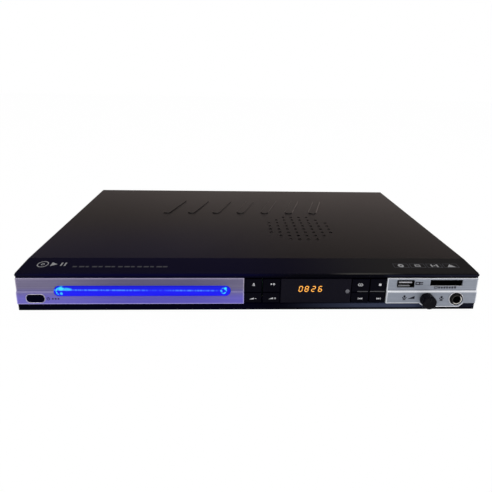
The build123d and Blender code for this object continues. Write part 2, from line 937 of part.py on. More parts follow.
def gear_outline(teeth, module, play):
    """Points of a spur gear with straight-flanked teeth about its own centre; tooth 0 points along +X."""
    pitch_radius = teeth * module / 2
    tip = pitch_radius + gear_addendum * module
    root = pitch_radius - gear_dedendum * module
    pitch_angle = 2 * pi / teeth
    half_root = pitch_angle * tooth_root_share - play / pitch_radius / 2
    half_tip = pitch_angle * tooth_tip_share - play / pitch_radius / 2
    points = []
    for tooth in range(teeth):
        middle = tooth * pitch_angle
        for radius, angle in ((root, -half_root), (tip, -half_tip), (tip, half_tip), (root, half_root)):
            points.append((radius * cos(middle + angle), radius * sin(middle + angle)))
    return points


def rack_outline(pitch_x, start_y, teeth, module, back, play):
    """Points of a rack along Y with its teeth towards +X."""
    pitch = pi * module
    tip = pitch_x + gear_addendum * module
    root = pitch_x - gear_dedendum * module
    points = [(pitch_x - back, start_y), (root, start_y)]
    for tooth in range(teeth):
        middle = start_y + (tooth + 0.5) * pitch
        half_root = pitch * tooth_root_share - play / 2
        half_tip = pitch * tooth_tip_share - play / 2
        points.extend([
            (root, middle - half_root),
            (tip, middle - half_tip),
            (tip, middle + half_tip),
            (root, middle + half_root),
        ])
    end_y = start_y + (teeth + 1) * pitch
    points.extend([(root, end_y), (pitch_x - back, end_y)])
    return points


# Loader frame: open tub with rails for the tray, a window for the traverse and pivot posts
window_mid_x = sum(loader_window_x) / 2
window_mid_y = sum(loader_window_y) / 2
window_width = loader_window_x[1] - loader_window_x[0]
window_depth = loader_window_y[1] - loader_window_y[0]
loader_mid_x = sum(loader_x) / 2
loader_mid_y = sum(loader_y) / 2
loader_width = loader_x[1] - loader_x[0]
loader_depth = loader_y[1] - loader_y[0]
loader_deck = board_z + loader_floor
loader_walls = (loader_x[0] + loader_wall, loader_x[1] - loader_wall)
tray_gear_radius = large_teeth * rack_module / 2
pinion_radius = pinion_teeth * rack_module / 2
rack_gear_radius = rack_gear_teeth * rack_module / 2
pulley_x = tray_gear_x + tray_gear_radius + pinion_radius
motor_place = (motor_x, drive_y)
gear_places = [(tray_gear_x, drive_y), (pulley_x, drive_y)]
pivot_z = plate_z + plate_thick / 2

with BuildPart() as loader_frame:
    with BuildSketch(Plane.XY.offset(board_z)):
        with Locations((loader_mid_x, loader_mid_y)):
            Rectangle(loader_width, loader_depth)
    extrude(amount=loader_top - board_z)
    with BuildSketch(Plane.XY.offset(loader_deck)):
        with Locations((loader_mid_x, loader_mid_y)):
            Rectangle(loader_width - 2 * loader_wall, loader_depth - 2 * loader_wall)
    extrude(amount=loader_top - loader_deck, mode=Mode.SUBTRACT)
    with BuildSketch(Plane.XY.offset(loader_deck)):
        for side, direction in zip(loader_walls, (Align.MIN, Align.MAX)):
            with Locations((side, loader_mid_y)):
                Rectangle(rail_width, loader_depth - 2 * loader_wall, align=(direction, Align.CENTER))
    extrude(amount=rail_top - loader_deck)
    with BuildSketch(front_plane(loader_y[0])):
        with Locations((slot_x, rail_top)):
            Rectangle(tray_width + 2 * fit_gap, loader_top - rail_top, align=(Align.CENTER, Align.MIN))
    extrude(amount=-loader_depth, mode=Mode.SUBTRACT)
    with BuildSketch(Plane.XY.offset(board_z)):
        with Locations((window_mid_x, window_mid_y)):
            Rectangle(window_width, window_depth)
        with Locations(motor_place):
            Circle(motor_diameter / 2)
    extrude(amount=loader_floor, mode=Mode.SUBTRACT)
    with BuildSketch(Plane.XY.offset(loader_deck)):
        for place in gear_places:
            with Locations(place):
                Circle(gear_pin / 2)
    extrude(amount=gear_high_z + gear_pin_rise - loader_deck)
    with BuildSketch(Plane.XY.offset(loader_deck)):
        for x, direction in ((loader_window_x[0], Align.MAX), (loader_window_x[1], Align.MIN)):
            with Locations((x, pivot_y)):
                Rectangle(post_wall, 2 * post_wall, align=(direction, Align.CENTER))
    extrude(amount=rail_top - loader_deck)
    with BuildSketch(side_plane(loader_window_x[0] - post_wall)):
        with Locations((pivot_y, pivot_z)):
            Circle(pivot_radius + gear_play)
    extrude(amount=window_width + 2 * post_wall, mode=Mode.SUBTRACT)
    with BuildSketch(Plane.XY.offset(board_z)):
        with Locations(*loader_pillars):
            Circle(screw_hole / 2)
    extrude(amount=rail_top - board_z, mode=Mode.SUBTRACT)
    with BuildSketch(Plane.XY.offset(loader_deck + screw_seat)):
        with Locations(*loader_pillars):
            Circle(screw_head / 2 + fit_gap)
    extrude(amount=rail_top - loader_deck - screw_seat, mode=Mode.SUBTRACT)
save(loader_frame, "loader_frame")

with BuildPart() as door_lamps:
    with BuildSketch(front_plane(loader_y[0])):
        for end in (-1, 1):
            lamp_x = slot_x + end * ((tray_width / 2 + slot_length / 2) / 2 + fit_gap)
            with Locations((lamp_x, slot_z)):
                Circle(lamp_diameter / 2)
    extrude(amount=loader_y[0] - door_face - door_thick - fit_gap)
save(door_lamps, "door_lamps")

# Clamp bridge and clamper
spindle = (slot_x, disc_y)
with BuildPart() as clamp_bridge:
    with BuildSketch(Plane.XY.offset(loader_top)):
        with Locations((loader_mid_x, disc_y)):
            Rectangle(loader_width, bridge_width)
        with Locations(spindle):
            Circle(bridge_hole / 2, mode=Mode.SUBTRACT)
    extrude(amount=bridge_thick)
save(clamp_bridge, "clamp_bridge")

bridge_top = loader_top + bridge_thick
with BuildPart() as clamper:
    with BuildSketch(Plane.XY.offset(clamper_bottom)):
        with Locations(spindle):
            Circle(clamper_disc / 2)
    extrude(amount=bridge_top + clamper_lift - clamper_bottom)
    with BuildSketch(Plane.XY.offset(bridge_top + clamper_lift)):
        with Locations(spindle):
            Circle(clamper_flange / 2)
    extrude(amount=clamper_top - bridge_top - clamper_lift)
    chamfer(clamper.faces().sort_by(Axis.Z)[-1].edges(), key_chamfer)
save(clamper, "clamper")

# Disc tray with its recesses, the slot for the turntable and the rack under its left half
tray_front = door_face + door_thick
rack_pitch_x = tray_gear_x - rack_gear_radius
rack_pitch = pi * rack_module
rack_teeth = travel_teeth + 1
rack_start = drive_y - rack_pitch
tray_rear = rack_start + (rack_teeth + 1) * rack_pitch
channel_end = rack_pitch_x + 2 * rack_gear_radius + 2 * rack_module

with BuildPart() as disc_tray:
    with BuildSketch(Plane.XY.offset(tray_bottom)):
        with Locations((slot_x, tray_front)):
            Rectangle(tray_width, tray_rear - tray_front, align=(Align.CENTER, Align.MIN))
    extrude(amount=tray_top - tray_bottom)
    with BuildSketch(Plane.XY.offset(disc_floor)):
        with Locations(spindle):
            Circle(disc_diameter / 2 + disc_rim_gap)
    extrude(amount=tray_top - disc_floor, mode=Mode.SUBTRACT)
    with BuildSketch(Plane.XY.offset(disc_floor - small_disc_drop)):
        with Locations(spindle):
            Circle(small_disc_diameter / 2 + disc_rim_gap)
    extrude(amount=small_disc_drop, mode=Mode.SUBTRACT)
    with BuildSketch(Plane.XY.offset(tray_bottom)):
        with Locations(spindle):
            Circle(tray_slot_width / 2)
            Rectangle(tray_slot_width, tray_rear - disc_y, align=(Align.CENTER, Align.MIN))
    extrude(amount=tray_top - tray_bottom, mode=Mode.SUBTRACT)
    with BuildSketch(Plane.XY.offset(tray_bottom)):
        with Locations((rack_pitch_x - rack_module, tray_front + tray_lip)):
            Rectangle(
                channel_end - rack_pitch_x + rack_module,
                tray_rear - tray_front - tray_lip,
                align=(Align.MIN, Align.MIN),
            )
    extrude(amount=rack_height, mode=Mode.SUBTRACT)
    with BuildSketch(Plane.XY.offset(tray_bottom)):
        Polygon(
            *rack_outline(
                rack_pitch_x, rack_start, rack_teeth, rack_module, tray_rack_back, tooth_play
            ),
            align=None,
        )
    extrude(amount=rack_height)
save(disc_tray, "disc_tray")

with BuildPart() as tray_door:
    with BuildSketch(front_plane(tray_front)):
        with Locations((slot_x, slot_z)):
            SlotOverall(door_length, door_height)
    extrude(amount=door_thick)
    chamfer(tray_door.faces().sort_by(Axis.Y)[0].edges(), key_chamfer)
save(tray_door, "tray_door")

# Tray drive
with BuildPart() as tray_gear:
    with BuildSketch(Plane.XY.offset(gear_low_z)):
        with Locations((tray_gear_x, drive_y)):
            Polygon(*gear_outline(large_teeth, rack_module, tooth_play), align=None)
    extrude(amount=gear_high_z - gear_low_z - fit_gap)
    with BuildSketch(Plane.XY.offset(gear_high_z - fit_gap)):
        with Locations((tray_gear_x, drive_y)):
            Polygon(*gear_outline(rack_gear_teeth, rack_module, tooth_play), align=None)
    extrude(amount=gear_high_top - gear_high_z + fit_gap)
    with BuildSketch(Plane.XY.offset(gear_low_z)):
        with Locations((tray_gear_x, drive_y)):
            Circle(gear_pin / 2 + gear_play)
    extrude(amount=gear_high_z + gear_pin_rise + gear_play - gear_low_z, mode=Mode.SUBTRACT)
save(tray_gear, "tray_gear")

with BuildPart() as pulley_gear:
    with BuildSketch(Plane.XY.offset(gear_low_z)):
        with Locations((pulley_x, drive_y)):
            Polygon(
                *gear_outline(pinion_teeth, rack_module, tooth_play),
                rotation=180 / pinion_teeth,
                align=None,
            )
    extrude(amount=gear_high_z - gear_low_z)
    with BuildSketch(Plane.XY.offset(gear_high_z)):
        with Locations((pulley_x, drive_y)):
            Circle(pulley_radius)
    extrude(amount=pulley_top - gear_high_z)
    with BuildSketch(Plane.XY.offset((gear_high_z + pulley_top) / 2 - belt_radius - gear_play)):
        with Locations((pulley_x, drive_y)):
            Circle(pulley_radius)
            Circle(pulley_radius - 2 * belt_radius - gear_play, mode=Mode.SUBTRACT)
    extrude(amount=2 * (belt_radius + gear_play), mode=Mode.SUBTRACT)
    with BuildSketch(Plane.XY.offset(gear_low_z)):
        with Locations((pulley_x, drive_y)):
            Circle(gear_pin / 2 + gear_play)
    extrude(amount=gear_high_z + gear_pin_rise + gear_play - gear_low_z, mode=Mode.SUBTRACT)
save(pulley_gear, "pulley_gear")

with BuildPart() as loading_motor:
    with BuildSketch(Plane.XY.offset(motor_bottom)):
        with Locations(motor_place):
            Circle(motor_diameter / 2 - gear_play)
    extrude(amount=motor_top - motor_bottom)
    with BuildSketch(Plane.XY.offset(motor_top)):
        with Locations(motor_place):
            Circle(motor_shaft / 2)
    extrude(amount=pulley_top - motor_top - fit_gap)
save(loading_motor, "loading_motor")

with BuildPart() as motor_pulley:
    with BuildSketch(Plane.XY.offset(motor_top + gear_play)):
        with Locations(motor_place):
            Circle(motor_pulley_radius)
    extrude(amount=pulley_top - motor_top - gear_play)
    with BuildSketch(Plane.XY.offset((gear_high_z + pulley_top) / 2 - belt_radius - gear_play)):
        with Locations(motor_place):
            Circle(motor_pulley_radius)
            Circle(motor_pulley_radius - 2 * belt_radius - gear_play, mode=Mode.SUBTRACT)
    extrude(amount=2 * (belt_radius + gear_play), mode=Mode.SUBTRACT)
    with BuildSketch(Plane.XY.offset(motor_top)):
        with Locations(motor_place):
            Circle(motor_shaft / 2 + gear_play)
    extrude(amount=pulley_top - motor_top - fit_gap + gear_play, mode=Mode.SUBTRACT)
save(motor_pulley, "motor_pulley")

# The belt's inner side rests in both grooves; its straight runs are the outer tangents
belt_mid_z = (gear_high_z + pulley_top) / 2
large_wrap = pulley_radius - 2 * belt_radius
small_wrap = motor_pulley_radius - 2 * belt_radius
with BuildPart() as drive_belt:
    with BuildSketch(Plane.XY.offset(belt_mid_z - belt_radius)):
        with Locations((pulley_x, drive_y)):
            Circle(large_wrap + 2 * belt_radius - gear_play)
        with Locations(motor_place):
            Circle(small_wrap + 2 * belt_radius - gear_play)
        make_hull()
        with BuildSketch(mode=Mode.SUBTRACT):
            with Locations((pulley_x, drive_y)):
                Circle(large_wrap)
            with Locations(motor_place):
                Circle(small_wrap)
            make_hull()
    extrude(amount=2 * belt_radius)
save(drive_belt, "drive_belt")

# Cam slider: its sloping slot raises and lowers the front pin of the traverse
pin_y = plate_y[0] - pin_reach
pin_drop = (pivot_y - pin_y) * sin(radians(tilt_angle))
cam_front = loader_window_y[0] + fit_gap
slot_mid = (slot_x - cam_travel / 2, pivot_z - pin_drop / 2)
slot_run = (cam_travel**2 + pin_drop**2) ** 0.5 + 2 * (cam_pin_radius + cam_slot_play)
with BuildPart() as cam_slider:
    with BuildSketch(front_plane(cam_front)):
        with Locations((cam_x, cam_z[0])):
            Rectangle(cam_length, cam_z[1] - cam_z[0], align=(Align.MIN, Align.MIN))
        with Locations(slot_mid):
            SlotOverall(
                slot_run,
                2 * (cam_pin_radius + cam_slot_play),
                rotation=degrees(atan2(pin_drop, cam_travel)),
                mode=Mode.SUBTRACT,
            )
    extrude(amount=-cam_thick)
    with BuildSketch(Plane.XY.offset(loader_deck + gear_play)):
        with Locations((cam_x, cam_front + cam_thick)):
            Rectangle(
                cam_length,
                cam_thick + cam_flange,
                align=(Align.MIN, Align.MAX),
            )
        with Locations((cam_x, cam_front)):
            Rectangle(cam_length, cam_thick, align=(Align.MIN, Align.MIN), mode=Mode.SUBTRACT)
        with Locations((motor_x, drive_y)):
            SlotOverall(
                motor_diameter + 2 * cam_travel + cam_motor_gap,
                motor_diameter + cam_motor_gap,
                mode=Mode.SUBTRACT,
            )
    extrude(amount=cam_flange_height)
save(cam_slider, "cam_slider")

# Traverse: steel plate on a cross pivot, with lugs for the guide rods
plate_mid_x = sum(plate_x) / 2
plate_mid_y = sum(plate_y) / 2
rod_xs = (slot_x - rod_offset, slot_x + rod_offset)
with BuildPart() as traverse_frame:
    with BuildSketch(Plane.XY.offset(plate_z)):
        with Locations((plate_mid_x, plate_mid_y)):
            Rectangle(plate_x[1] - plate_x[0], plate_y[1] - plate_y[0])
        with Locations((slot_x, pickup_window_y)):
            Rectangle(pickup_window[0], pickup_window[1], mode=Mode.SUBTRACT)
        with Locations(spindle):
            Circle(plate_hole / 2, mode=Mode.SUBTRACT)
    extrude(amount=plate_thick)
    with BuildSketch(Plane.XY.offset(plate_z)):
        for x in rod_xs:
            for y, direction in ((rod_ends[0], Align.MAX), (rod_ends[1], Align.MIN)):
                with Locations((x, y)):
                    Rectangle(rod_lug_width, rod_lug, align=(Align.CENTER, direction))
    extrude(amount=rod_z - rod_radius - plate_z)
    with BuildSketch(side_plane(loader_window_x[0] - post_wall)):
        with Locations((pivot_y, pivot_z)):
            Circle(pivot_radius)
    extrude(amount=window_width + 2 * post_wall)
    with BuildSketch(Plane.XY.offset(plate_z)):
        with Locations((plate_mid_x, plate_y[1])):
            Rectangle(pivot_web, pivot_y - plate_y[1], align=(Align.CENTER, Align.MIN))
    extrude(amount=plate_thick)
    with BuildSketch(front_plane(pin_y)):
        with Locations((slot_x, pivot_z)):
            Circle(cam_pin_radius)
    extrude(amount=pin_y - plate_y[0])
    with BuildSketch(Plane.XY.offset(plate_z)):
        with Locations((slot_x, plate_y[0])):
            Rectangle(pivot_web, 2 * plate_thick, align=(Align.CENTER, Align.MIN))
    extrude(amount=plate_thick)
save(traverse_frame, "traverse_frame")

with BuildPart() as guide_rods:
    with BuildSketch(front_plane(rod_ends[0])):
        for x in rod_xs:
            with Locations((x, rod_z)):
                Circle(rod_radius)
    extrude(amount=rod_ends[0] - rod_ends[1])
save(guide_rods, "guide_rods")

with BuildPart() as spindle_motor:
    with BuildSketch(Plane.XY.offset(spindle_motor_bottom)):
        with Locations(spindle):
            Circle(spindle_motor_diameter / 2)
    extrude(amount=plate_z - spindle_motor_bottom)
    with BuildSketch(Plane.XY.offset(plate_z)):
        with Locations(spindle):
            Circle(spindle_shaft / 2)
    extrude(amount=turntable_top - turntable_rim - plate_z)
save(spindle_motor, "spindle_motor")

with BuildPart() as turntable:
    with BuildSketch(Plane.XY.offset(plate_z + plate_thick + fit_gap)):
        with Locations(spindle):
            Circle(turntable_stem / 2)
    extrude(amount=turntable_top - turntable_rim - plate_z - plate_thick - fit_gap)
    with BuildSketch(Plane.XY.offset(turntable_top - turntable_rim)):
        with Locations(spindle):
            Circle(turntable_diameter / 2)
    extrude(amount=turntable_rim)
    with BuildSketch(Plane.XY.offset(turntable_top)):
        with Locations(spindle):
            Circle(cone_diameter / 2)
    with BuildSketch(Plane.XY.offset(cone_top)):
        with Locations(spindle):
            Circle(cone_tip / 2)
    loft()
    with BuildSketch(Plane.XY.offset(plate_z + plate_thick)):
        with Locations(spindle):
            Circle(spindle_shaft / 2 + gear_play)
    extrude(amount=turntable_top - turntable_rim + gear_play - plate_z - plate_thick, mode=Mode.SUBTRACT)
save(turntable, "turntable")

# Pickup sled on the rods, with its rack, and the lens over it
sled_top = plate_z - fit_gap
sled_bottom = sled_top - sled_height
sled_rack_pitch = pi * sled_module
sled_gear_radius = sled_gear_teeth * sled_module / 2
sled_rack_x = sled_gear_x - sled_gear_radius
sled_rack_start = sled_gear_y - (sled_teeth + 1) * sled_rack_pitch
with BuildPart() as pickup_sled:
    with BuildSketch(Plane.XY.offset(sled_bottom)):
        with Locations((slot_x, sled_front)):
            Rectangle(sled_width, sled_length, align=(Align.CENTER, Align.MIN))
    extrude(amount=sled_height)
    with BuildSketch(front_plane(sled_front)):
        for x in rod_xs:
            with Locations((x, rod_z)):
                Circle(rod_radius + gear_play)
    extrude(amount=-sled_length, mode=Mode.SUBTRACT)
    with BuildSketch(Plane.XY.offset(sled_top)):
        with Locations((slot_x, lens_y)):
            Rectangle(lens_holder[0], lens_holder[1])
    extrude(amount=plate_thick)
    with BuildSketch(Plane.XY.offset(sled_rack_z)):
        Polygon(
            *rack_outline(
                sled_rack_x, sled_rack_start, sled_teeth + 1, sled_module, rack_back, sled_play
            ),
            align=None,
        )
    extrude(amount=sled_gear_height)
save(pickup_sled, "pickup_sled")

with BuildPart() as objective_lens:
    with BuildSketch(Plane.XY.offset(sled_top + plate_thick)):
        with Locations((slot_x, lens_y)):
            Circle(lens_diameter / 2)
    extrude(amount=lens_rise, taper=lens_taper)
save(objective_lens, "objective_lens")

with BuildPart() as sled_gear:
    with BuildSketch(Plane.XY.offset(sled_rack_z)):
        with Locations((sled_gear_x, sled_gear_y)):
            Polygon(*gear_outline(sled_gear_teeth, sled_module, sled_play), align=None)
    extrude(amount=sled_gear_height)
    with BuildSketch(Plane.XY.offset(sled_rack_z)):
        with Locations((sled_gear_x, sled_gear_y)):
            Circle(sled_gear_radius / 2)
    extrude(amount=plate_z - contact_gap - sled_rack_z)
save(sled_gear, "sled_gear")

with BuildPart() as sled_motor:
    with BuildSketch(Plane.XY.offset(plate_z)):
        with Locations((worm_x, sled_gear_y + worm_length / 2)):
            Rectangle(sled_motor_size[0], sled_motor_size[1], align=(Align.CENTER, Align.MIN))
    extrude(amount=-sled_motor_size[2])
    with BuildSketch(front_plane(sled_gear_y - worm_length / 2)):
        with Locations((worm_x, sled_rack_z + sled_gear_height / 2)):
            Circle(worm_diameter / 2)
    extrude(amount=-worm_length)
save(sled_motor, "sled_motor")


# Main board, its chips, and the rear socket block standing on it
def board(x_range, y_range):
    """Sketch of a rectangular board with a screw hole inside each corner."""
    with BuildSketch(Plane.XY.offset(board_z)) as outline:
        with Locations((sum(x_range) / 2, sum(y_range) / 2)):
            Rectangle(x_range[1] - x_range[0], y_range[1] - y_range[0])
        with Locations(*corners_inside(x_range, y_range, pillar_inset)):
            Circle(screw_hole / 2, mode=Mode.SUBTRACT)
    return outline.sketch


main_outline = board(main_board_x, main_board_y)
power_outline = board(power_board_x, power_board_y)
board_top = board_z + board_thick

with BuildPart() as main_board:
    extrude(main_outline, amount=board_thick)
save(main_board, "main_board")

with BuildPart() as power_board:
    extrude(power_outline, amount=board_thick)
save(power_board, "power_board")

with BuildPart() as board_chips:
    for place, size, height in chips:
        with BuildSketch(Plane.XY.offset(board_top)):
            with Locations((main_board_x[0] + place[0], main_board_y[0] + place[1])):
                Rectangle(*size)
        extrude(amount=height)
save(board_chips, "board_chips")

with BuildPart() as av_jack_block:
    with BuildSketch(front_plane(panel_face - sheet)):
        with Locations((sleeve_x, board_top)):
            Rectangle(
                sleeve_columns * sleeve_pitch,
                jack_block_top - board_top,
                align=(Align.CENTER, Align.MIN),
            )
    extrude(amount=jack_block_depth)
    with BuildSketch(front_plane(panel_face - sheet)):
        with Locations(*sleeve_points):
            Circle(sleeve_collar / 2)
    extrude(amount=-collar_reach)
    with BuildSketch(front_plane(panel_face - sheet + collar_reach)):
        with Locations(*sleeve_points):
            Circle(sleeve_diameter / 2 - sleeve_step)
    extrude(amount=collar_reach + sleeve_seat, mode=Mode.SUBTRACT)
    with BuildSketch(front_plane(panel_face - sheet - sleeve_seat)):
        with Locations(*sleeve_points):
            Circle(sleeve_diameter / 2 - sleeve_wall)
            Circle(sleeve_pin_hole / 2, mode=Mode.SUBTRACT)
    extrude(amount=panel_face - sheet - sleeve_seat - rear_reach + sleeve_core_back)
save(av_jack_block, "av_jack_block")

with BuildPart() as rca_sleeves:
    with BuildSketch(front_plane(rear_reach)):
        with Locations(*sleeve_points):
            Circle(sleeve_diameter / 2)
            Circle(sleeve_diameter / 2 - sleeve_wall, mode=Mode.SUBTRACT)
    extrude(amount=rear_reach - panel_face + sheet - collar_reach - fit_gap)
    with BuildSketch(front_plane(panel_face - sheet + collar_reach + fit_gap)):
        with Locations(*sleeve_points):
            Circle(sleeve_diameter / 2 - sleeve_step)
            Circle(sleeve_diameter / 2 - sleeve_wall, mode=Mode.SUBTRACT)
    extrude(amount=collar_reach + fit_gap + sleeve_seat)
save(rca_sleeves, "rca_sleeves")

with BuildPart() as cord_gland:
    with BuildSketch(front_plane(panel_face)):
        with Locations((gland_x, gland_z)):
            Circle(gland_flange / 2)
    extrude(amount=-gland_lip)
    with BuildSketch(front_plane(panel_face + gland_lip)):
        with Locations((gland_x, gland_z)):
            Circle(gland_flange / 2 - gland_lip)
    with BuildSketch(front_plane(rear_reach - gland_lip)):
        with Locations((gland_x, gland_z)):
            Circle(gland_tip / 2)
    loft()
    with BuildSketch(front_plane(panel_face)):
        with Locations((gland_x, gland_z)):
            Circle(gland_neck / 2)
    extrude(amount=sheet)
    with BuildSketch(front_plane(panel_face - sheet)):
        with Locations((gland_x, gland_z)):
            Circle(gland_flange / 2)
    extrude(amount=gland_lip)
    with BuildSketch(front_plane(rear_reach)):
        with Locations((gland_x, gland_z)):
            Circle(cord_hole / 2)
    extrude(amount=rear_reach - panel_face + sheet + gland_lip, mode=Mode.SUBTRACT)
save(cord_gland, "cord_gland")

# Power supply parts
with BuildPart() as transformer:
    with BuildSketch(Plane.XY.offset(board_top)):
        with Locations((power_board_x[0] + transformer_place[0], power_board_y[0] + transformer_place[1])):
            Rectangle(transformer_core[0], transformer_core[1])
    extrude(amount=transformer_core[2])
    with BuildSketch(Plane.XY.offset(board_top)):
        with Locations((power_board_x[0] + transformer_place[0], power_board_y[0] + transformer_place[1])):
            Rectangle(transformer_coil[0], transformer_coil[1])
    extrude(amount=transformer_coil[2])
save(transformer, "transformer")

with BuildPart() as capacitors:
    for place, diameter, height in capacitor_list:
        with BuildSketch(Plane.XY.offset(board_top)):
            with Locations((power_board_x[0] + place[0], power_board_y[0] + place[1])):
                Circle(diameter / 2)
        extrude(amount=height)
save(capacitors, "capacitors")

with BuildPart() as heat_sink:
    with BuildSketch(Plane.XY.offset(board_top)):
        with Locations((power_board_x[0] + heat_sink_place[0], power_board_y[0] + heat_sink_place[1])):
            Rectangle(heat_sink_size[0], sheet)
            with GridLocations(heat_sink_pitch, 0, heat_sink_fins, 1):
                Rectangle(sheet, heat_sink_size[1])
    extrude(amount=heat_sink_size[2])
save(heat_sink, "heat_sink")

# Flat cables: main board to front board, main board to loader
with BuildPart() as ribbon_cables:
    with BuildSketch(side_plane(ribbon_x)):
        with BuildLine():
            Polyline(
                (front_board_y, ribbon_z),
                (front_board_y + ribbon_bend, ribbon_z),
                (main_board_y[0] + ribbon_bend, board_top + ribbon_thick),
                (main_board_y[0] + 2 * ribbon_bend, board_top + ribbon_thick),
                (main_board_y[0] + 2 * ribbon_bend, board_top),
                (main_board_y[0] + ribbon_bend, board_top),
                (front_board_y + ribbon_bend, ribbon_z - ribbon_thick),
                (front_board_y, ribbon_z - ribbon_thick),
                close=True,
            )
        make_face()
    extrude(amount=ribbon_width)
save(ribbon_cables, "ribbon_cables")

# Fasteners and feet
with BuildPart() as chassis_screws:
    for places, head_z in ((board_pillars, board_top), (loader_pillars, loader_deck + screw_seat)):
        with BuildSketch(Plane.XY.offset(head_z)):
            with Locations(*places):
                Circle(screw_head / 2)
        extrude(amount=screw_head_height)
        with BuildSketch(Plane.XY.offset(head_z)):
            with Locations(*places):
                Circle(screw_shank / 2)
        extrude(amount=-(head_z - floor_top - sheet - fit_gap))
    with BuildSketch(front_plane(front_board_y)):
        with Locations(*post_places):
            Circle(screw_head / 2)
    extrude(amount=-screw_head_height)
    with BuildSketch(front_plane(front_board_y)):
        with Locations(*post_places):
            Circle(screw_shank / 2)
    extrude(amount=front_board_y - plate_back - fit_gap)
save(chassis_screws, "chassis_screws")

with BuildPart() as cover_screws:
    for x in (-half_width, half_width):
        outward = 1 if x > 0 else -1
        with BuildSketch(side_plane(x)):
            for y in side_screw_y:
                with Locations((y, side_screw_z)):
                    Circle(screw_head / 2)
        extrude(amount=outward * cover_screw_head)
        with BuildSketch(side_plane(x)):
            for y in side_screw_y:
                with Locations((y, side_screw_z)):
                    Circle(screw_shank / 2)
        extrude(amount=-outward * cover_screw_length)
    with BuildSketch(front_plane(rear_face)):
        for x in rear_screw_x:
            with Locations((x, rear_screw_z)):
                Circle(screw_head / 2)
    extrude(amount=-cover_screw_head)
    with BuildSketch(front_plane(rear_face)):
        for x in rear_screw_x:
            with Locations((x, rear_screw_z)):
                Circle(screw_shank / 2)
    extrude(amount=cover_screw_length)
save(cover_screws, "cover_screws")

with BuildPart() as feet:
    with BuildSketch(Plane.XY):
        with Locations(*foot_places):
            Circle(foot_diameter / 2)
    extrude(amount=foot_height)
    chamfer(feet.edges().filter_by(GeomType.CIRCLE).group_by(Axis.Z)[0], foot_chamfer)
save(feet, "feet")
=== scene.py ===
# %% [markdown]
# A slim disc player, dressed for its picture. The CAD frame already holds every solid at its real
# size and place. This file gives each one its finish and adds the fine pieces that a photograph
# shows: symbols, glowing digits, the light in the tray door, screws and socket linings.

# %% Load the frame
import math

import bpy
import numpy as np
from mathutils import Matrix, Vector


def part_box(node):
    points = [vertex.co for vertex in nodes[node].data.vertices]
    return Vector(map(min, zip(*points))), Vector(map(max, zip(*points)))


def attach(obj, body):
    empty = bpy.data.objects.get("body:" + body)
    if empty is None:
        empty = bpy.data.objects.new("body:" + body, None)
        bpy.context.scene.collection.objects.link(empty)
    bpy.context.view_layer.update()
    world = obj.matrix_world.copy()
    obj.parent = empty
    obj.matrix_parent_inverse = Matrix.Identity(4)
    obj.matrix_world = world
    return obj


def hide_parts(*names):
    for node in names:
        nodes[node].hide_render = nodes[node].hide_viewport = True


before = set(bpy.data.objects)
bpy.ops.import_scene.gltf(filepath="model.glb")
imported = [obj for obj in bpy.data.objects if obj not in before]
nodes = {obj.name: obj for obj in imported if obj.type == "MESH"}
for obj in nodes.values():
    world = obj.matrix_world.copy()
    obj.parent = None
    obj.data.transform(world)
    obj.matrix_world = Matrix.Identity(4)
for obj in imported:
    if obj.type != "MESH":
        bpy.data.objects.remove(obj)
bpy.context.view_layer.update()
MM = 0.001


def box_mm(node):
    """Low and high corner of a CAD node in millimetres."""
    low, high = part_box(node)
    return low / MM, high / MM


# %% [markdown]
# The camera stands where the picture was taken from: a little left of the middle, about 28 cm in front
# of the case and 19 cm above the table, looking down at 14 degrees. The lens follows from the
# vanishing lines of the case. The picture was cropped low, which is what the small shift repeats.

# %% Camera
CAMERA_PLACE = Vector((-18.05, -396.81, 188.38)) * MM
CAMERA_TURN, CAMERA_DOWN, CAMERA_ROLL = 2.335, 14.38, -1.157
FOCAL_PIXELS, PICTURE_PIXELS, AXIS_ABOVE_MIDDLE = 399.75, 492, 69.81


def aim(turn, down, roll):
    """Rotation of a camera from three angles in degrees: turned right, tipped down, then rolled."""
    t, d, r = (math.radians(angle) for angle in (turn, down, roll))
    forward = Vector((math.sin(t) * math.cos(d), math.cos(t) * math.cos(d), -math.sin(d)))
    right = Vector((math.cos(t), -math.sin(t), 0))
    under = forward.cross(right)
    rolled_right = right * math.cos(r) + under * math.sin(r)
    rolled_under = under * math.cos(r) - right * math.sin(r)
    return Matrix((rolled_right, -rolled_under, -forward)).transposed().to_4x4()


camera_data = bpy.data.cameras.new("camera")
camera_data.sensor_width = 36.0
camera_data.lens = camera_data.sensor_width * FOCAL_PIXELS / PICTURE_PIXELS
camera_data.shift_y = -AXIS_ABOVE_MIDDLE / PICTURE_PIXELS
camera_data.clip_start = 0.01
camera = bpy.data.objects.new("camera", camera_data)
camera.matrix_world = Matrix.Translation(CAMERA_PLACE) @ aim(CAMERA_TURN, CAMERA_DOWN, CAMERA_ROLL)
bpy.context.scene.collection.objects.link(camera)
bpy.context.scene.camera = camera
print("lens", round(camera_data.lens, 2), "mm")

# %% [markdown]
# A material is a net of nodes. Written as Python sums it stays readable: a small class wraps one
# socket, and each operator adds the Math node that does the same sum.

# %% Shader expressions


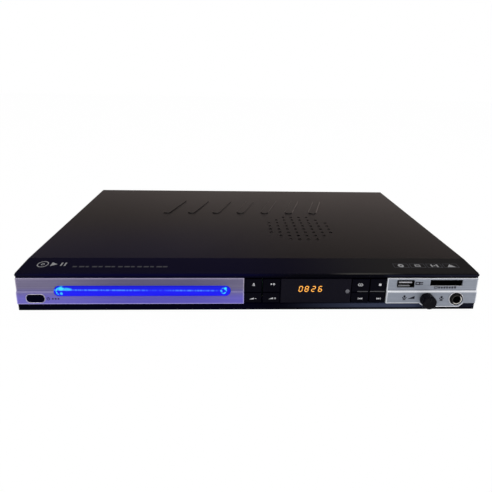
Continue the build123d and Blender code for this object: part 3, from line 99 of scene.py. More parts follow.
class Value:
    """A number or vector that flows between shader nodes; + - * / < and their reflected forms, so
    that 1 - mask works too, add Math nodes."""

    def __init__(self, shader, socket):
        self.shader = shader
        self.socket = socket

    def join(self, operation, first, second):
        """Adds the Math node of one operator."""
        return self.shader.node("ShaderNodeMath", {"operation": operation}, {0: first, 1: second})

    def __add__(self, other):
        return self.join("ADD", self, other)

    __radd__ = __add__

    def __sub__(self, other):
        return self.join("SUBTRACT", self, other)

    def __rsub__(self, other):
        return self.join("SUBTRACT", other, self)

    def __mul__(self, other):
        return self.join("MULTIPLY", self, other)

    __rmul__ = __mul__

    def __truediv__(self, other):
        return self.join("DIVIDE", self, other)

    def __rtruediv__(self, other):
        return self.join("DIVIDE", other, self)

    def __lt__(self, other):
        return self.join("LESS_THAN", self, other)

    def __gt__(self, other):
        return self.join("LESS_THAN", other, self)


# %% [markdown]
# Blender keeps the nodes of the world and of each material in a node tree. One method adds any kind
# of node. The others name what is used most: a colour ramp, a smooth step, a blend of two colours.

# %% Node trees


class Net:
    """A node tree under construction."""

    def __init__(self, tree):
        self.tree = tree

    def node(self, kind, settings=None, sockets=None, output=0):
        """Adds a node, sets its settings, then its sockets to numbers or links, and returns one output."""
        made = self.tree.nodes.new(kind)
        for key, value in (settings or {}).items():
            setattr(made, key, value)
        for key, value in (sockets or {}).items():
            self.feed(made.inputs[key], value)
        return Value(self, made.outputs[output])

    def feed(self, socket, value):
        """Links a value to a socket, or sets the socket to a number, a vector or an opaque colour."""
        if isinstance(value, Value):
            self.tree.links.new(value.socket, socket)
        else:
            socket.default_value = (*value, 1.0) if socket.type == "RGBA" else value

    def ramp(self, factor, *stops):
        """A colour that follows a factor between two stops, each a position and a colour."""
        made = self.node("ShaderNodeValToRGB", {}, {"Fac": factor})
        for element, (position, colour) in zip(made.socket.node.color_ramp.elements, stops):
            element.position, element.color = position, (*colour, 1.0)
        return made

    def between(self, value, low, high):
        """Smooth step: 0 below low, 1 above high."""
        sockets = {"Value": value, "From Min": low, "From Max": high}
        return self.node("ShaderNodeMapRange", {"interpolation_type": "SMOOTHSTEP"}, sockets)

    def below(self, value, low, high):
        """Falling smooth step: 1 below low, 0 above high."""
        return 1 - self.between(value, low, high)

    def larger(self, first, second):
        """The larger of two values."""
        return self.node("ShaderNodeMath", {"operation": "MAXIMUM"}, {0: first, 1: second})

    def size(self, value):
        """A value without its sign."""
        return self.larger(value, 0 - value)

    def mix(self, factor, first, second):
        """Blends two colours."""
        return self.node("ShaderNodeMix", {"data_type": "RGBA"}, {0: factor, 6: first, 7: second}, output=2)

    def part(self, vector, name):
        """The X, Y or Z part of a vector."""
        return self.node("ShaderNodeSeparateXYZ", {}, {0: vector}, output="XYZ".index(name))


# %% [markdown]
# Every finish is one principled surface. What changes over it is worked out from the object's own
# coordinates, so a pattern stays on its piece in every view and pose and can be baked later.

# %% Materials


class Shader(Net):
    """One material under construction."""

    def __init__(self, name):
        self.material = bpy.data.materials.new(name)
        self.material.use_nodes = True
        super().__init__(self.material.node_tree)
        self.surface = self.tree.nodes["Principled BSDF"]

    def place(self):
        """Object coordinates in metres, the same for every view and pose."""
        return self.node("ShaderNodeTexCoord", output=3)

    def stretched(self, scale):
        """Object coordinates multiplied along each axis."""
        return self.node("ShaderNodeMapping", {}, {"Vector": self.place(), "Scale": scale})

    def axis(self, name):
        """One of the object's own coordinates, X, Y or Z, in millimetres."""
        return self.part(self.place(), name) * 1000

    def noise(self, scale, detail=3.0, roughness=0.5, stretch=(1, 1, 1)):
        """Smooth random values from 0 to 1; scale is in features per metre."""
        sockets = {"Vector": self.stretched(stretch), "Scale": scale}
        return self.node("ShaderNodeTexNoise", {}, {**sockets, "Detail": detail, "Roughness": roughness})

    def wave(self, across, scale, distortion=0.0, detail=2.0):
        """Soft bands from 0 to 1 that follow each other along X or Y."""
        sockets = {"Vector": self.place(), "Scale": scale, "Distortion": distortion, "Detail": detail}
        return self.node("ShaderNodeTexWave", {"bands_direction": across}, sockets)

    def bump(self, height, strength, distance):
        """Surface relief; distance is the real depth in metres."""
        sockets = {"Height": height, "Strength": strength, "Distance": distance}
        self.set(Normal=self.node("ShaderNodeBump", {}, sockets))

    def set(self, **values):
        """Sets sockets of the surface; Base_Color means the socket Base Color."""
        for key, value in values.items():
            self.feed(self.surface.inputs[key.replace("_", " ")], value)


def dress(shader, *names):
    """Gives CAD nodes a material."""
    for name in names:
        slots = nodes[name].material_slots
        for slot in slots:
            slot.link = "DATA"
            slot.material = shader.material
        if not slots:
            nodes[name].data.materials.append(shader.material)


# %% [markdown]
# The table and the wall are pure white in the picture, so the camera sees a white world. Diffuse
# light comes from a slightly dimmer one. Glossy surfaces see a dark room with a warm bright band
# along the horizon, weakest on the left: the black cover turns paler and browner towards its rear
# edge, where it is seen at the flattest angle, and stays nearly black in front.

# %% World
WORLD_LIGHT, BAND_LIGHT, ROOM_LIGHT = 0.62, 0.95, 0.03
world = bpy.data.worlds.new("studio")
bpy.context.scene.world = world
world.use_nodes = True
sky = Net(world.node_tree)
direction = sky.node("ShaderNodeTexCoord", output="Generated")
rise = sky.part(direction, "Z")
aside = sky.part(direction, "X")
towards_middle = 0.72 + sky.between(aside, -0.35, 0.0) * 0.5 - sky.between(aside, 0.05, 0.40) * 0.15
band = sky.below(rise, 0.15, 0.36) * towards_middle
mirrored = band * BAND_LIGHT + ROOM_LIGHT
seen = sky.node("ShaderNodeLightPath", output="Is Camera Ray")
glossy = sky.node("ShaderNodeLightPath", output="Is Glossy Ray")
strength = seen + (1 - seen) * (glossy * mirrored + (1 - glossy) * WORLD_LIGHT)
background = sky.tree.nodes["Background"]
tint = sky.mix(glossy, (1.0, 1.0, 1.0), (1.0, 0.85, 0.79))
sky.feed(background.inputs["Color"], tint)
sky.feed(background.inputs["Strength"], strength)
bpy.context.scene.view_settings.view_transform = "Standard"
print("light on matt surfaces", WORLD_LIGHT, "and from the band", BAND_LIGHT)

# %% [markdown]
# The table is a large square just below the feet.

# %% Floor
FLOOR_SELF_WHITE = 0.985
floor_shader = Shader("white_floor")
floor_shader.set(Base_Color=(0.93, 0.93, 0.93), Roughness=0.9, Specular_IOR_Level=0.1)
white = floor_shader.node("ShaderNodeEmission")
share = floor_shader.node("ShaderNodeLightPath", output="Is Camera Ray") * FLOOR_SELF_WHITE
lit_floor = Value(floor_shader, floor_shader.surface.outputs[0])
mixed = floor_shader.node("ShaderNodeMixShader", {}, {0: share, 1: lit_floor, 2: white})
floor_shader.feed(floor_shader.tree.nodes["Material Output"].inputs["Surface"], mixed)

FLOOR_HALF, FLOOR_Z = 3.0, -0.0002
floor_corners = [(x * FLOOR_HALF, y * FLOOR_HALF, FLOOR_Z) for x, y in ((-1, -1), (1, -1), (1, 1), (-1, 1))]
floor_mesh = bpy.data.meshes.new("floor")
floor_mesh.from_pydata(floor_corners, [], [(0, 1, 2, 3)])
floor = bpy.data.objects.new("floor", floor_mesh)
floor.data.materials.append(floor_shader.material)
bpy.context.scene.collection.objects.link(floor)
print("floor", 2 * FLOOR_HALF, "m wide")

# %% [markdown]
# Two soft area lamps do the rest: a large one overhead for the silver plates, and one low in front,
# a little to the left, that keeps the front from going black.

# %% Lamps


def soft_lamp(name, place, target, size, watts):
    """A square white area lamp that faces a target point."""
    data = bpy.data.lights.new(name, "AREA")
    data.size = size
    data.energy = watts
    lamp = bpy.data.objects.new(name, data)
    lamp.location = place
    lamp.rotation_euler = (Vector(target) - Vector(place)).to_track_quat("-Z", "Y").to_euler()
    bpy.context.scene.collection.objects.link(lamp)


soft_lamp("overhead", (0.25, 0.1, 1.3), (0, 0, 0), 1.2, 9.0)
soft_lamp("front_fill", (-0.5, -1.3, 0.7), (0, -0.1, 0), 0.9, 7.0)
print("lamps", len(bpy.data.lights))

# %% [markdown]
# Most of the player is nearly black and satin: paint, moulded plastic, rubber and ink. One function
# makes them all. Their tone and gloss change a little, as handling and moulding do.

# %% Satin finish


def satin(name, colour, rough, grain=2600.0, relief=0.00003, specular=0.15, sheen=(1.0, 1.0, 1.0)):
    """Satin surface: a fine grain as relief, and a slow noise that changes tone and gloss."""
    s = Shader(name)
    peel = s.noise(grain, 2.0, 0.5)
    blotch = s.noise(14.0, 4.0, 0.6)
    light = tuple(min(1.0, c * 1.25 + 0.001) for c in colour)
    s.set(
        Base_Color=s.mix(blotch, colour, light),
        Roughness=rough + (blotch - 0.5) * 0.08,
        Specular_IOR_Level=specular,
        Specular_Tint=sheen,
    )
    s.bump(peel, 0.35, relief)
    return s


# %% [markdown]
# Powder coat is a baked paint with a fine orange-peel relief. Its sheen is a little warm. In front on
# the left, near the lit slot, the slot's blue light is painted on it as a faint emission.

# %% Cover paint
cover_paint = satin("cover_paint", (0.0026, 0.0019, 0.0023), 0.31, specular=0.19, sheen=(1.0, 0.92, 0.88))
in_front = cover_paint.between(0 - cover_paint.axis("Y"), -30.0, 88.0)
on_left = cover_paint.below(cover_paint.axis("X"), -90.0, 70.0)
# Painted light: faint blue emission from the slot, in front on the left.
painted_slot_glow = cover_paint.mix(in_front * on_left, (0.0, 0.0, 0.0), (0.0002, 0.0004, 0.0080))
cover_paint.set(Emission_Color=painted_slot_glow, Emission_Strength=1.0)
dress(cover_paint, "top_cover")
print("cover", [round(side / MM, 1) for side in nodes["top_cover"].dimensions], "mm")

# %% [markdown]
# The nose and the base strip are one black moulding with a cooler sheen. The slot's blue light is
# painted on it as emission, most of all under the tip of the nose, and the right silver plate's grey
# light is painted there as well. A painted sheen makes the top of the nose paler than its front, more
# so towards the microphone socket, where a painted reflection also makes the strip paler, and a
# painted highlight makes a short pale line on the tip of the nose. All heights are millimetres above
# the table.

# %% Nose and base strip
slot_low, slot_high = box_mm("tray_door")
SLOT_CENTRE, SLOT_HALF = (slot_low + slot_high) / 2, (slot_high - slot_low) / 2
nose = satin("nose_plastic", (0.0, 0.0, 0.0), 0.34, relief=0.000012, specular=0.02, sheen=(0.85, 0.85, 1.0))
nose_x, nose_z = nose.axis("X"), nose.axis("Z")
on_top = nose.between(nose_z, 35.6, 36.4)
on_right = nose.between(nose_x, 15.0, 125.0)

# Painted light, as emission: blue from the slot and grey from the right silver plate.
beside_slot = nose.below(nose.size(nose_x - SLOT_CENTRE.x), 60.0, 125.0)
under_tip = nose.between(nose_z, 33.0, 34.6) * (1 - on_top) * 0.8
slot_share = beside_slot * (0.22 + under_tip - on_top * 0.07)
slot_light = nose.mix(slot_share, (0.0, 0.0, 0.0006), (0.0004, 0.0002, 0.0190))
above_plate = nose.between(nose_z, 33.0, 34.0) * nose.below(nose_z, 34.9, 35.6)
plate_share = above_plate * nose.between(nose_x, 104.0, 112.0)
thrown_light = nose.mix(plate_share, slot_light, (0.0060, 0.0070, 0.0150))

# Painted sheen: the top of the nose is paler than its front, and paler still on the right.
painted_top_sheen = nose.mix(on_right, (0.0042, 0.0036, 0.0084), (0.0120, 0.0112, 0.0108))
nose_tone = nose.mix(on_top, (0.0002, 0.0001, 0.0012), painted_top_sheen)
# Painted highlight: a short pale line along the tip of the nose.
highlight_height = nose.below(nose.size(nose_z - 36.0), 0.05, 0.26)
highlight_length = nose.between(nose_x, 58.0, 80.0) * nose.below(nose_x, 98.0, 125.0)
nose_tone = nose.mix(highlight_height * highlight_length, nose_tone, (0.060, 0.058, 0.053))
# Painted reflection: a pale blue band on the strip on the right, fading before its right end and dark along
# its bottom edge.
strip_height = nose.between(nose_z, 5.5, 6.7) * nose.below(nose_z, 9.5, 10.0)
strip_reflection = on_right * (1 - nose.between(nose_x, 128.0, 150.0) * 0.85) * strip_height
nose_tone = nose.mix(strip_reflection, nose_tone, (0.038, 0.046, 0.082))
nose.set(Base_Color=nose_tone, Emission_Color=thrown_light, Emission_Strength=1.0)
dress(nose, "front_bezel")
print("slot centre", [round(place, 2) for place in SLOT_CENTRE], "mm")

# %% [markdown]
# Inside, most plastics are plain black mouldings, and sockets are blacker and smoother. The tongue of
# the USB socket is pale, and its underside is painted black as shade, so its front edge shows as a
# bright bar.

# %% Inner plastics
moulded_black = satin("moulded_black", (0.009, 0.009, 0.010), 0.5, 1400.0, 0.00004)
dress(
    moulded_black,
    "loader_frame", "disc_tray", "clamper", "turntable", "mains_switch", "key_switches",
    "volume_pot", "av_jack_block", "cord_gland",
)
dress(satin("socket_black", (0.0022, 0.0022, 0.0026), 0.35, 1400.0, 0.00002, 0.08), "card_reader", "mic_jack")
carrier = satin("contact_carrier", (0.26, 0.26, 0.28), 0.4, 1200.0, 0.00002)
tongue_top = box_mm("usb_tongue")[1].z
# Painted shade: the underside of the tongue is black.
shade_under_tongue = carrier.below(carrier.axis("Z"), tongue_top - 1.1, tongue_top - 0.8)
carrier.set(Base_Color=carrier.mix(shade_under_tongue, (0.50, 0.50, 0.54), (0.003, 0.003, 0.004)))
dress(carrier, "usb_tongue")
print("tongue top", round(tongue_top, 2), "mm")

# %% [markdown]
# The two front plates are plastic with a hot-pressed silver film. The film has a very fine
# horizontal brushing, so the pattern is noise stretched a hundred times along X. The ledge and a
# narrow border carry a painted highlight, and a painted shadow line runs just above the ledge. Blue
# light from the tray door is painted over the left plate as emission: faint above the slot, strong
# below it, along its whole length, and below the slot the silver is painted darker. Its middle third
# is the darkest.

# %% Silver plates
BASE_TOP, LEDGE_TOP = 9.7, 20.6
TAB_INSETS = (27.4, 32.6, 61.0, 64.4)
EVERYWHERE = 1000.0  # farther right than any plate reaches
plate_low = box_mm("fascia_right")[0]


def silver_film(name, node, dark, light, edge, ledge, foot_ends, lit_by_door):
    """Brushed silver film with a painted highlight in the colour edge along its border. ledge is how
    strong the painted highlight on the upward-facing ledge is, foot_ends is where the painted highlight
    along the foot stops, and lit_by_door adds the painted blue light of the tray door."""
    s = Shader(name)
    brushing = s.noise(900.0, 4.0, 0.65, stretch=(0.012, 1.0, 2.2))
    broad = s.noise(9.0, 3.0, 0.5, stretch=(0.3, 1.0, 1.0))
    silver = s.ramp(brushing * 0.8 + broad * 0.2, (0.3, dark), (0.7, light))
    x, z = s.axis("X"), s.axis("Z")
    low, high = box_mm(node)
    to_side = s.size(x - (low.x + high.x) / 2) - (high.x - low.x) / 2
    to_top = z - high.z
    # Painted highlight: a bright line along the foot, a bright border at the sides and top, and the ledge
    # where it faces up.
    to_foot = s.between(0 - z, -BASE_TOP - 0.8, -BASE_TOP - 0.3) * (x < foot_ends)
    rim = s.larger(s.larger(s.between(to_side, -0.9, -0.4), s.between(to_top, -0.8, -0.3)), to_foot)
    facing = s.part(s.node("ShaderNodeNewGeometry", output="Normal"), "Z")
    painted_highlight = s.larger(s.between(facing, 0.2, 0.6) * ledge, rim * 0.75)
    # Painted shadow: a dark line just above the ledge.
    shadow_line = s.below(s.size(z - LEDGE_TOP - 0.45), 0.15, 0.45)
    silver = s.mix(shadow_line * 0.35, silver, (0.03, 0.03, 0.035))
    if lit_by_door:
        across = x - SLOT_CENTRE.x - 12.0
        far = s.between(s.size(across), 20.0, 85.0)
        silver = s.mix(far, s.mix(0.45, silver, (0.03, 0.03, 0.035)), silver)
        # Painted light below the slot: darker silver under a blue emission.
        under_slot = s.below(z, 13.5, 24.5)
        silver = s.mix(under_slot * 0.25, silver, (0.06, 0.05, 0.065))
        blue = s.mix(under_slot, (0.004, 0.004, 0.060), (0.012, 0.006, 0.34))
        s.set(Emission_Color=blue, Emission_Strength=1.0)
    s.set(
        Base_Color=s.mix(painted_highlight, silver, edge),
        Roughness=0.42 + brushing * 0.12,
        Metallic=0.25,
        Specular_IOR_Level=0.3,
    )
    s.bump(brushing, 0.25, 0.00001)
    dress(s, node)


silver_film(
    "silver_lit", "fascia_left", dark=(0.116, 0.102, 0.130), light=(0.180, 0.160, 0.200),
    edge=(0.44, 0.40, 0.45), ledge=0.25, foot_ends=EVERYWHERE, lit_by_door=True,
)
silver_film(
    "silver_plain", "fascia_right", dark=(0.208, 0.228, 0.272), light=(0.285, 0.31, 0.368),
    edge=(0.86, 0.88, 0.93), ledge=1.0, foot_ends=plate_low.x + TAB_INSETS[0], lit_by_door=False,
)
print("right plate starts at", round(plate_low.x, 2), "mm")

# %% [markdown]
# Polished black plastic is used for the keys, the display window and the power button. It is
# smooth, with the faintest waviness from the mould and a few dull fingerprints.

# %% Polished black


def polished(name, colour, rough=0.10, specular=0.08):
    """Glossy moulded plastic: faint waves, and smudges that are paler and duller."""
    s = Shader(name)
    waviness = s.noise(120.0, 2.0, 0.5)
    smudge = s.noise(60.0, 5.0, 0.6)
    lift = tuple(c * 1.3 + 0.0004 for c in colour)
    s.set(
        Base_Color=s.mix(smudge, colour, lift),
        Roughness=rough + s.between(smudge, 0.5, 0.8) * 0.12,
        Specular_IOR_Level=specular,
    )
    s.bump(waviness, 0.2, 0.000004)
    return s


KEYS = [name for name in nodes if name.startswith("key_") and name != "key_switches"]
dress(polished("gloss_black", (0.0006, 0.0005, 0.0026), specular=0.03), *KEYS)
window_black = polished("window_black", (0.0030, 0.0026, 0.0062), 0.06, specular=0.05)
dress(window_black, "display_lens", "display_module")
dress(polished("power_black", (0.0002, 0.0002, 0.0045), specular=0.01), "power_button")
print("keys", sorted(KEYS))

# %% [markdown]
# The tray door is clear blue acrylic with a lamp behind each end. All of its light is a formula along
# the door, made of three shapes: a spot, a thin arc and a line of dashes. Their edges are ragged,
# because a noise is added to the distances.

# %% Shapes of light
door = Shader("lit_acrylic")
along = door.axis("X") - SLOT_CENTRE.x
height = door.axis("Z") - SLOT_CENTRE.z
ragged = (door.noise(650.0, 4.0, 0.7) - 0.5) * 1.6


def away(centre_x, centre_z, stretch=1.0):
    """Distance in millimetres from a point of the door, with a ragged edge."""
    dx, dz = (along - centre_x) / stretch, height - centre_z
    return door.node("ShaderNodeMath", {"operation": "SQRT"}, {0: dx * dx + dz * dz}) + ragged


def spot(centre_x, centre_z, radius, stretch=1.0):
    """1 at a point of the door, falling smoothly to 0 at a radius in millimetres."""
    return door.below(away(centre_x, centre_z, stretch), radius * 0.3, radius)


def hook(centre_x, centre_z, radius):
    """A thin ragged arc, brightest on the radius."""
    return door.below(door.size(away(centre_x, centre_z) - radius), 0.15, 0.75)


print("door", round(2 * SLOT_HALF.x, 1), "mm long")

# %% [markdown]
# The door is saturated blue everywhere and darker along its upper edge. Pale dashes run along the
# middle, where the light runs, and fade near the middle and before the right end. At each end sits a
# cyan flare with a bright hook round the lamp.

# %% Lit tray door
LEFT_LAMP, RIGHT_LAMP = 6.6 - SLOT_HALF.x, SLOT_HALF.x - 4.4
broken = door.between(door.noise(900.0, 2.0, 0.6), 0.42, 0.56)
left_end = door.below(along, LEFT_LAMP - 3.2, LEFT_LAMP - 1.8)
left_hook = hook(LEFT_LAMP - 1.1, 0.2, 3.4) * left_end * broken * 0.9
left_flare = spot(LEFT_LAMP - 1.0, 2.4, 2.2, 1.4) + spot(LEFT_LAMP + 3.4, 1.9, 1.6, 3.4) * 0.6
left_flare = left_flare + spot(LEFT_LAMP - 0.7, -1.9, 1.5) * 0.7
right_end = door.between(along, RIGHT_LAMP - 3.5, RIGHT_LAMP)
right_hook = hook(RIGHT_LAMP - 1.2, 0.5, 2.2) * right_end * broken
right_flare = spot(RIGHT_LAMP + 0.5, 2.5, 1.7, 0.8) + spot(RIGHT_LAMP - 2.8, 0.3, 1.2) * 0.7
flares = left_flare + left_hook + right_flare + right_hook

line_height = door.size(height - 0.9 + along * 0.006)
dotted = door.between(door.noise(750.0, 1.0, 0.5, stretch=(1.0, 0.1, 0.1)), 0.42, 0.56)
weak_part = 1 - door.between(door.size(along - 12.0), 4.0, 16.0) * 0.8
dashes = door.below(line_height, 0.25, 0.95) * (0.35 + dotted * 0.65) * (1 - weak_part * 0.8)
dashes = dashes * door.below(along, 52.0, 62.0)

streaks = door.noise(500.0, 3.0, 0.6, stretch=(0.05, 1.0, 1.6))
deep = door.mix(streaks, (0.002, 0.001, 0.62), (0.016, 0.014, 0.98))
deep = door.mix(door.between(height, 1.4, 3.4) * 0.5, deep, (0.006, 0.012, 0.45))
lit = door.mix(dashes * 0.85, deep, (0.08, 0.32, 1.0))
lit = door.mix(flares, lit, (0.06, 0.80, 1.0))
door.set(Base_Color=(0.004, 0.004, 0.10), Roughness=0.25, Specular_IOR_Level=0.05)
door.set(Emission_Color=lit, Emission_Strength=1.0)
door.bump(streaks, 0.2, 0.00002)
dress(door, "tray_door")

lamp_resin = Shader("lamp_resin")
lamp_cells = lamp_resin.noise(900.0, 2.0)
lamp_glow = lamp_resin.mix(lamp_cells, (0.10, 0.45, 1.0), (0.35, 0.8, 1.0))
lamp_resin.set(Base_Color=(0.2, 0.5, 0.9), Roughness=0.2, Emission_Color=lamp_glow, Emission_Strength=2.0)
dress(lamp_resin, "door_lamps")
print("lamps of the door at", round(LEFT_LAMP, 1), "and", round(RIGHT_LAMP, 1), "mm from its middle")

# %% [markdown]
# Metals differ by colour, gloss and grain. Sheet steel is zinc plated, with the large soft crystals
# of galvanised sheet; turned and drawn parts have fine lines.

# %% Metals


def metal(name, colour, rough, scale, stretch=(1, 1, 1), contrast=0.25, relief=0.00001):
    """Bare metal whose grain changes its tone and gloss."""
    s = Shader(name)
    grain = s.noise(scale, 4.0, 0.6, stretch)
    dark = tuple(c * (1 - contrast) for c in colour)
    s.set(Base_Color=s.mix(grain, dark, colour), Roughness=rough + (grain - 0.5) * 0.15, Metallic=0.9)
    s.bump(grain, 0.3, relief)
    return s


ALONG_X, ALONG_Y, ALONG_Z = (0.05, 1, 1), (1, 0.05, 1), (1, 1, 0.05)
zinc = metal("zinc_sheet", (0.52, 0.53, 0.53), 0.36, 90.0)
dress(zinc, "chassis_base", "rear_panel", "clamp_bridge", "traverse_frame")
bright = metal("bright_plate", (0.80, 0.80, 0.78), 0.22, 700.0, ALONG_Y, 0.15)
dress(bright, "rca_sleeves", "guide_rods")
dress(metal("aluminium", (0.68, 0.69, 0.70), 0.38, 800.0, ALONG_X, 0.2), "heat_sink")
MOTORS = ("loading_motor", "spindle_motor", "sled_motor")
dress(metal("motor_can", (0.55, 0.56, 0.58), 0.3, 700.0, ALONG_Z, 0.2), *MOTORS)
dress(metal("brass", (0.72, 0.52, 0.22), 0.28, 900.0, ALONG_Z, 0.2), "motor_pulley")
dress(metal("zinc_screw", (0.60, 0.60, 0.56), 0.3, 900.0), "chassis_screws")
dress(metal("black_screw", (0.05, 0.05, 0.055), 0.35, 900.0), "cover_screws")
print("motors", MOTORS)

# %% [markdown]
# The shell of the USB socket is bent steel. Its mouth is painted black as shade, apart from a pale
# band on the floor, a painted highlight where the floor is lit, where the steel is also made less
# metallic. The band stops short of the right wall.

# %% USB shell
USB_SHADE, USB_LIT_FLOOR = (0.006, 0.006, 0.007), (0.80, 0.82, 0.88)
shell = metal("usb_steel", (0.50, 0.52, 0.60), 0.3, 700.0, ALONG_Y, 0.2)
shell_low, shell_high = box_mm("usb_shell")
into_shell = shell.axis("Y") - shell_low.y
# Painted shade makes the shell black; the pale band on its floor is a painted highlight.
lit_floor_band = shell.between(into_shell, 0.9, 1.3) * shell.below(into_shell, 3.0, 3.5)
lit_floor_band = lit_floor_band * (shell.axis("Z") < shell_low.z + 0.8) * (shell.axis("X") < shell_high.x - 2.8)
shell.set(Base_Color=shell.mix(lit_floor_band, USB_SHADE, USB_LIT_FLOOR), Metallic=0.9 - lit_floor_band * 0.8)
dress(shell, "usb_shell")
print("USB shell", [round(side, 1) for side in shell_high - shell_low], "mm")

# %% [markdown]
# Circuit boards have green solder resist over copper tracks. The tracks are two wave patterns cut
# into steps, seen as a slightly lighter green; copper pads are small cells.

# %% Circuit boards
board = Shader("solder_resist")
waves, cross_waves = board.wave("X", 130.0, 3.0, 1.0), board.wave("Y", 90.0, 4.0, 1.0)
patch = board.between(board.noise(70.0, 2.0), 0.45, 0.55)
tracks = board.between(waves, 0.55, 0.65) * patch + board.between(cross_waves, 0.6, 0.7) * (1 - patch)
cells = board.node("ShaderNodeTexVoronoi", {}, {"Vector": board.place(), "Scale": 260.0})
pads = board.below(cells, 0.16, 0.2)
resist = board.mix(tracks, (0.006, 0.055, 0.022), (0.012, 0.105, 0.040))
board.set(Base_Color=board.mix(pads * 0.8, resist, (0.62, 0.55, 0.38)), Roughness=0.38 - pads * 0.1)
board.bump(tracks + pads, 0.4, 0.00004)
BOARDS = ("front_board", "main_board", "power_board")
dress(board, *BOARDS)
print("boards", BOARDS)

# %% [markdown]
# What stands on the boards and in the loader has its own plastics: black epoxy chips, the dark blue
# sleeves of the capacitors, yellow tape on the transformer, rubber, and off-white acetal gears, which
# run dry. The lens of the pickup has a faint blue coating.

# %% Small parts inside
ACETAL_PARTS = ("tray_gear", "pulley_gear", "cam_slider", "sled_gear", "pickup_sled")
SMALL_PARTS = {
    "epoxy": ((0.010, 0.010, 0.011), 0.55, 1800.0, 0.00002, ("board_chips",)),
    "capacitor_sleeve": ((0.012, 0.014, 0.045), 0.3, 900.0, 0.00001, ("capacitors",)),
    "tape_and_ferrite": ((0.42, 0.33, 0.05), 0.45, 500.0, 0.00004, ("transformer",)),
    "belt_rubber": ((0.010, 0.010, 0.010), 0.7, 2200.0, 0.00003, ("drive_belt",)),
    "foot_rubber": ((0.014, 0.014, 0.014), 0.75, 1600.0, 0.00006, ("feet",)),
    "acetal": ((0.66, 0.66, 0.62), 0.42, 1500.0, 0.00001, ACETAL_PARTS),
}
for name, (colour, rough, grain, relief, parts) in SMALL_PARTS.items():
    dress(satin(name, colour, rough, grain, relief), *parts)
dress(polished("receiver_resin", (0.055, 0.045, 0.060), 0.12), "ir_receiver")
dress(polished("lens_coating", (0.16, 0.24, 0.42), 0.05, specular=0.5), "objective_lens")
print("small parts", list(SMALL_PARTS))

# %% [markdown]
# A flat ribbon cable is a row of wires side by side. A wave pattern gives both the stripes and their
# relief.

# %% Ribbon cables
ribbon = Shader("ribbon_cable")
wires = ribbon.wave("X", 320.0)
ribbon.set(Base_Color=ribbon.mix(wires, (0.52, 0.52, 0.50), (0.74, 0.74, 0.71)), Roughness=0.45)
ribbon.bump(wires, 0.5, 0.0001)
dress(ribbon, "ribbon_cables")
bare = [name for name, node in nodes.items() if not node.data.materials]
print("nodes without a finish", bare)

# %% [markdown]
# The fine pieces are surfaces worked out with numpy: grids of points whose faces join neighbours. The
# last step is the same for all: the sign of the volume shows whether the faces point outwards, the
# piece gets its material, and it is hung on the empty of the body it rides on.

# %% From points to a piece


def volume(points, faces):
    """Six times the volume inside closed faces: triple products a . (b x c) over fans of triangles."""
    total, middle = 0.0, points.mean(axis=0)
    for count in {len(face) for face in faces}:
        corners = points[np.array([face for face in faces if len(face) == count])] - middle
        total += np.einsum("ij,ikj->", corners[:, 0], np.cross(corners[:, 1:-1], corners[:, 2:]))
    return total


def mesh_piece(name, points, faces, shader, body, smooth=True):
    """Makes an object from points in metres and faces, turns the faces outwards, and mounts it."""
    points = np.asarray(points, dtype=float).reshape(-1, 3)
    if volume(points, faces) < 0:
        faces = [tuple(reversed(face)) for face in faces]
    mesh = bpy.data.meshes.new(name)
    mesh.from_pydata(points.tolist(), [], [tuple(face) for face in faces])
    mesh.polygons.foreach_set("use_smooth", np.full(len(mesh.polygons), smooth))
    mesh.materials.append(shader.material)
    piece = bpy.data.objects.new(name, mesh)
    bpy.context.scene.collection.objects.link(piece)
    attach(piece, body)
    return piece


def grid_faces(rows, columns, closed_rows=False, start=0):
    """Quads of a grid whose columns close to a ring: face (i, j) joins points (i, j), (i, j + 1),
    (i + 1, j + 1) and (i + 1, j), counted row by row."""
    row = np.arange(rows if closed_rows else rows - 1)[:, None]
    column = np.arange(columns)[None, :]
    below = (row + 1) % rows
    beside = (column + 1) % columns
    here, under = row * columns, below * columns
    corners = np.broadcast_arrays(here + column, here + beside, under + beside, under + column)
    return (np.stack(corners, -1).reshape(-1, 4) + start).tolist()


print("a grid of 3 by 4 points has", len(grid_faces(3, 4)), "faces")

# %% [markdown]
# Knob, rings and the mouth of the socket are turned: a profile is carried round an axis, as on a
# lathe. A shape function may then press flutes into the turned surface.

# %% Turned shapes


def basis(axis):
    """Rows U = Z x N, V = N x U and N, for a level axis N of length 1."""
    across = np.cross((0, 0, 1), axis)
    return np.stack((across, np.cross(axis, across), axis)).astype(float)


def turned(name, profile, centre, axis, shader, body, steps=64, shape=None, closed=False):
    """Surface of revolution: P(i, a) = centre + r cos a U + r sin a V + t N for profile rows (r, t) in mm.

    shape(radius, along, angle) may return a changed radius and distance along the axis."""
    radius, along = (np.array(column, dtype=float)[:, None] for column in zip(*profile))
    angle = np.linspace(0, 2 * np.pi, steps, endpoint=False)[None, :]
    radius, along = radius + 0 * angle, along + 0 * angle
    if shape:
        radius, along = shape(radius, along, angle)
    local = np.stack((radius * np.cos(angle), radius * np.sin(angle), along), -1)
    points = (local @ basis(axis)) * MM + np.array(centre) * MM
    return mesh_piece(name, points, grid_faces(len(profile), steps, closed), shader, body)


print("axes across Y", basis((0, 1, 0)).round(2).tolist())

# %% [markdown]
# Printed symbols are flat outlines with a tiny height. They are lifted straight off the face they are
# printed on, so each is a closed solid and not a loose sheet. Bars, rings and frames are enough for
# every picture on the player.

# %% Printed outlines


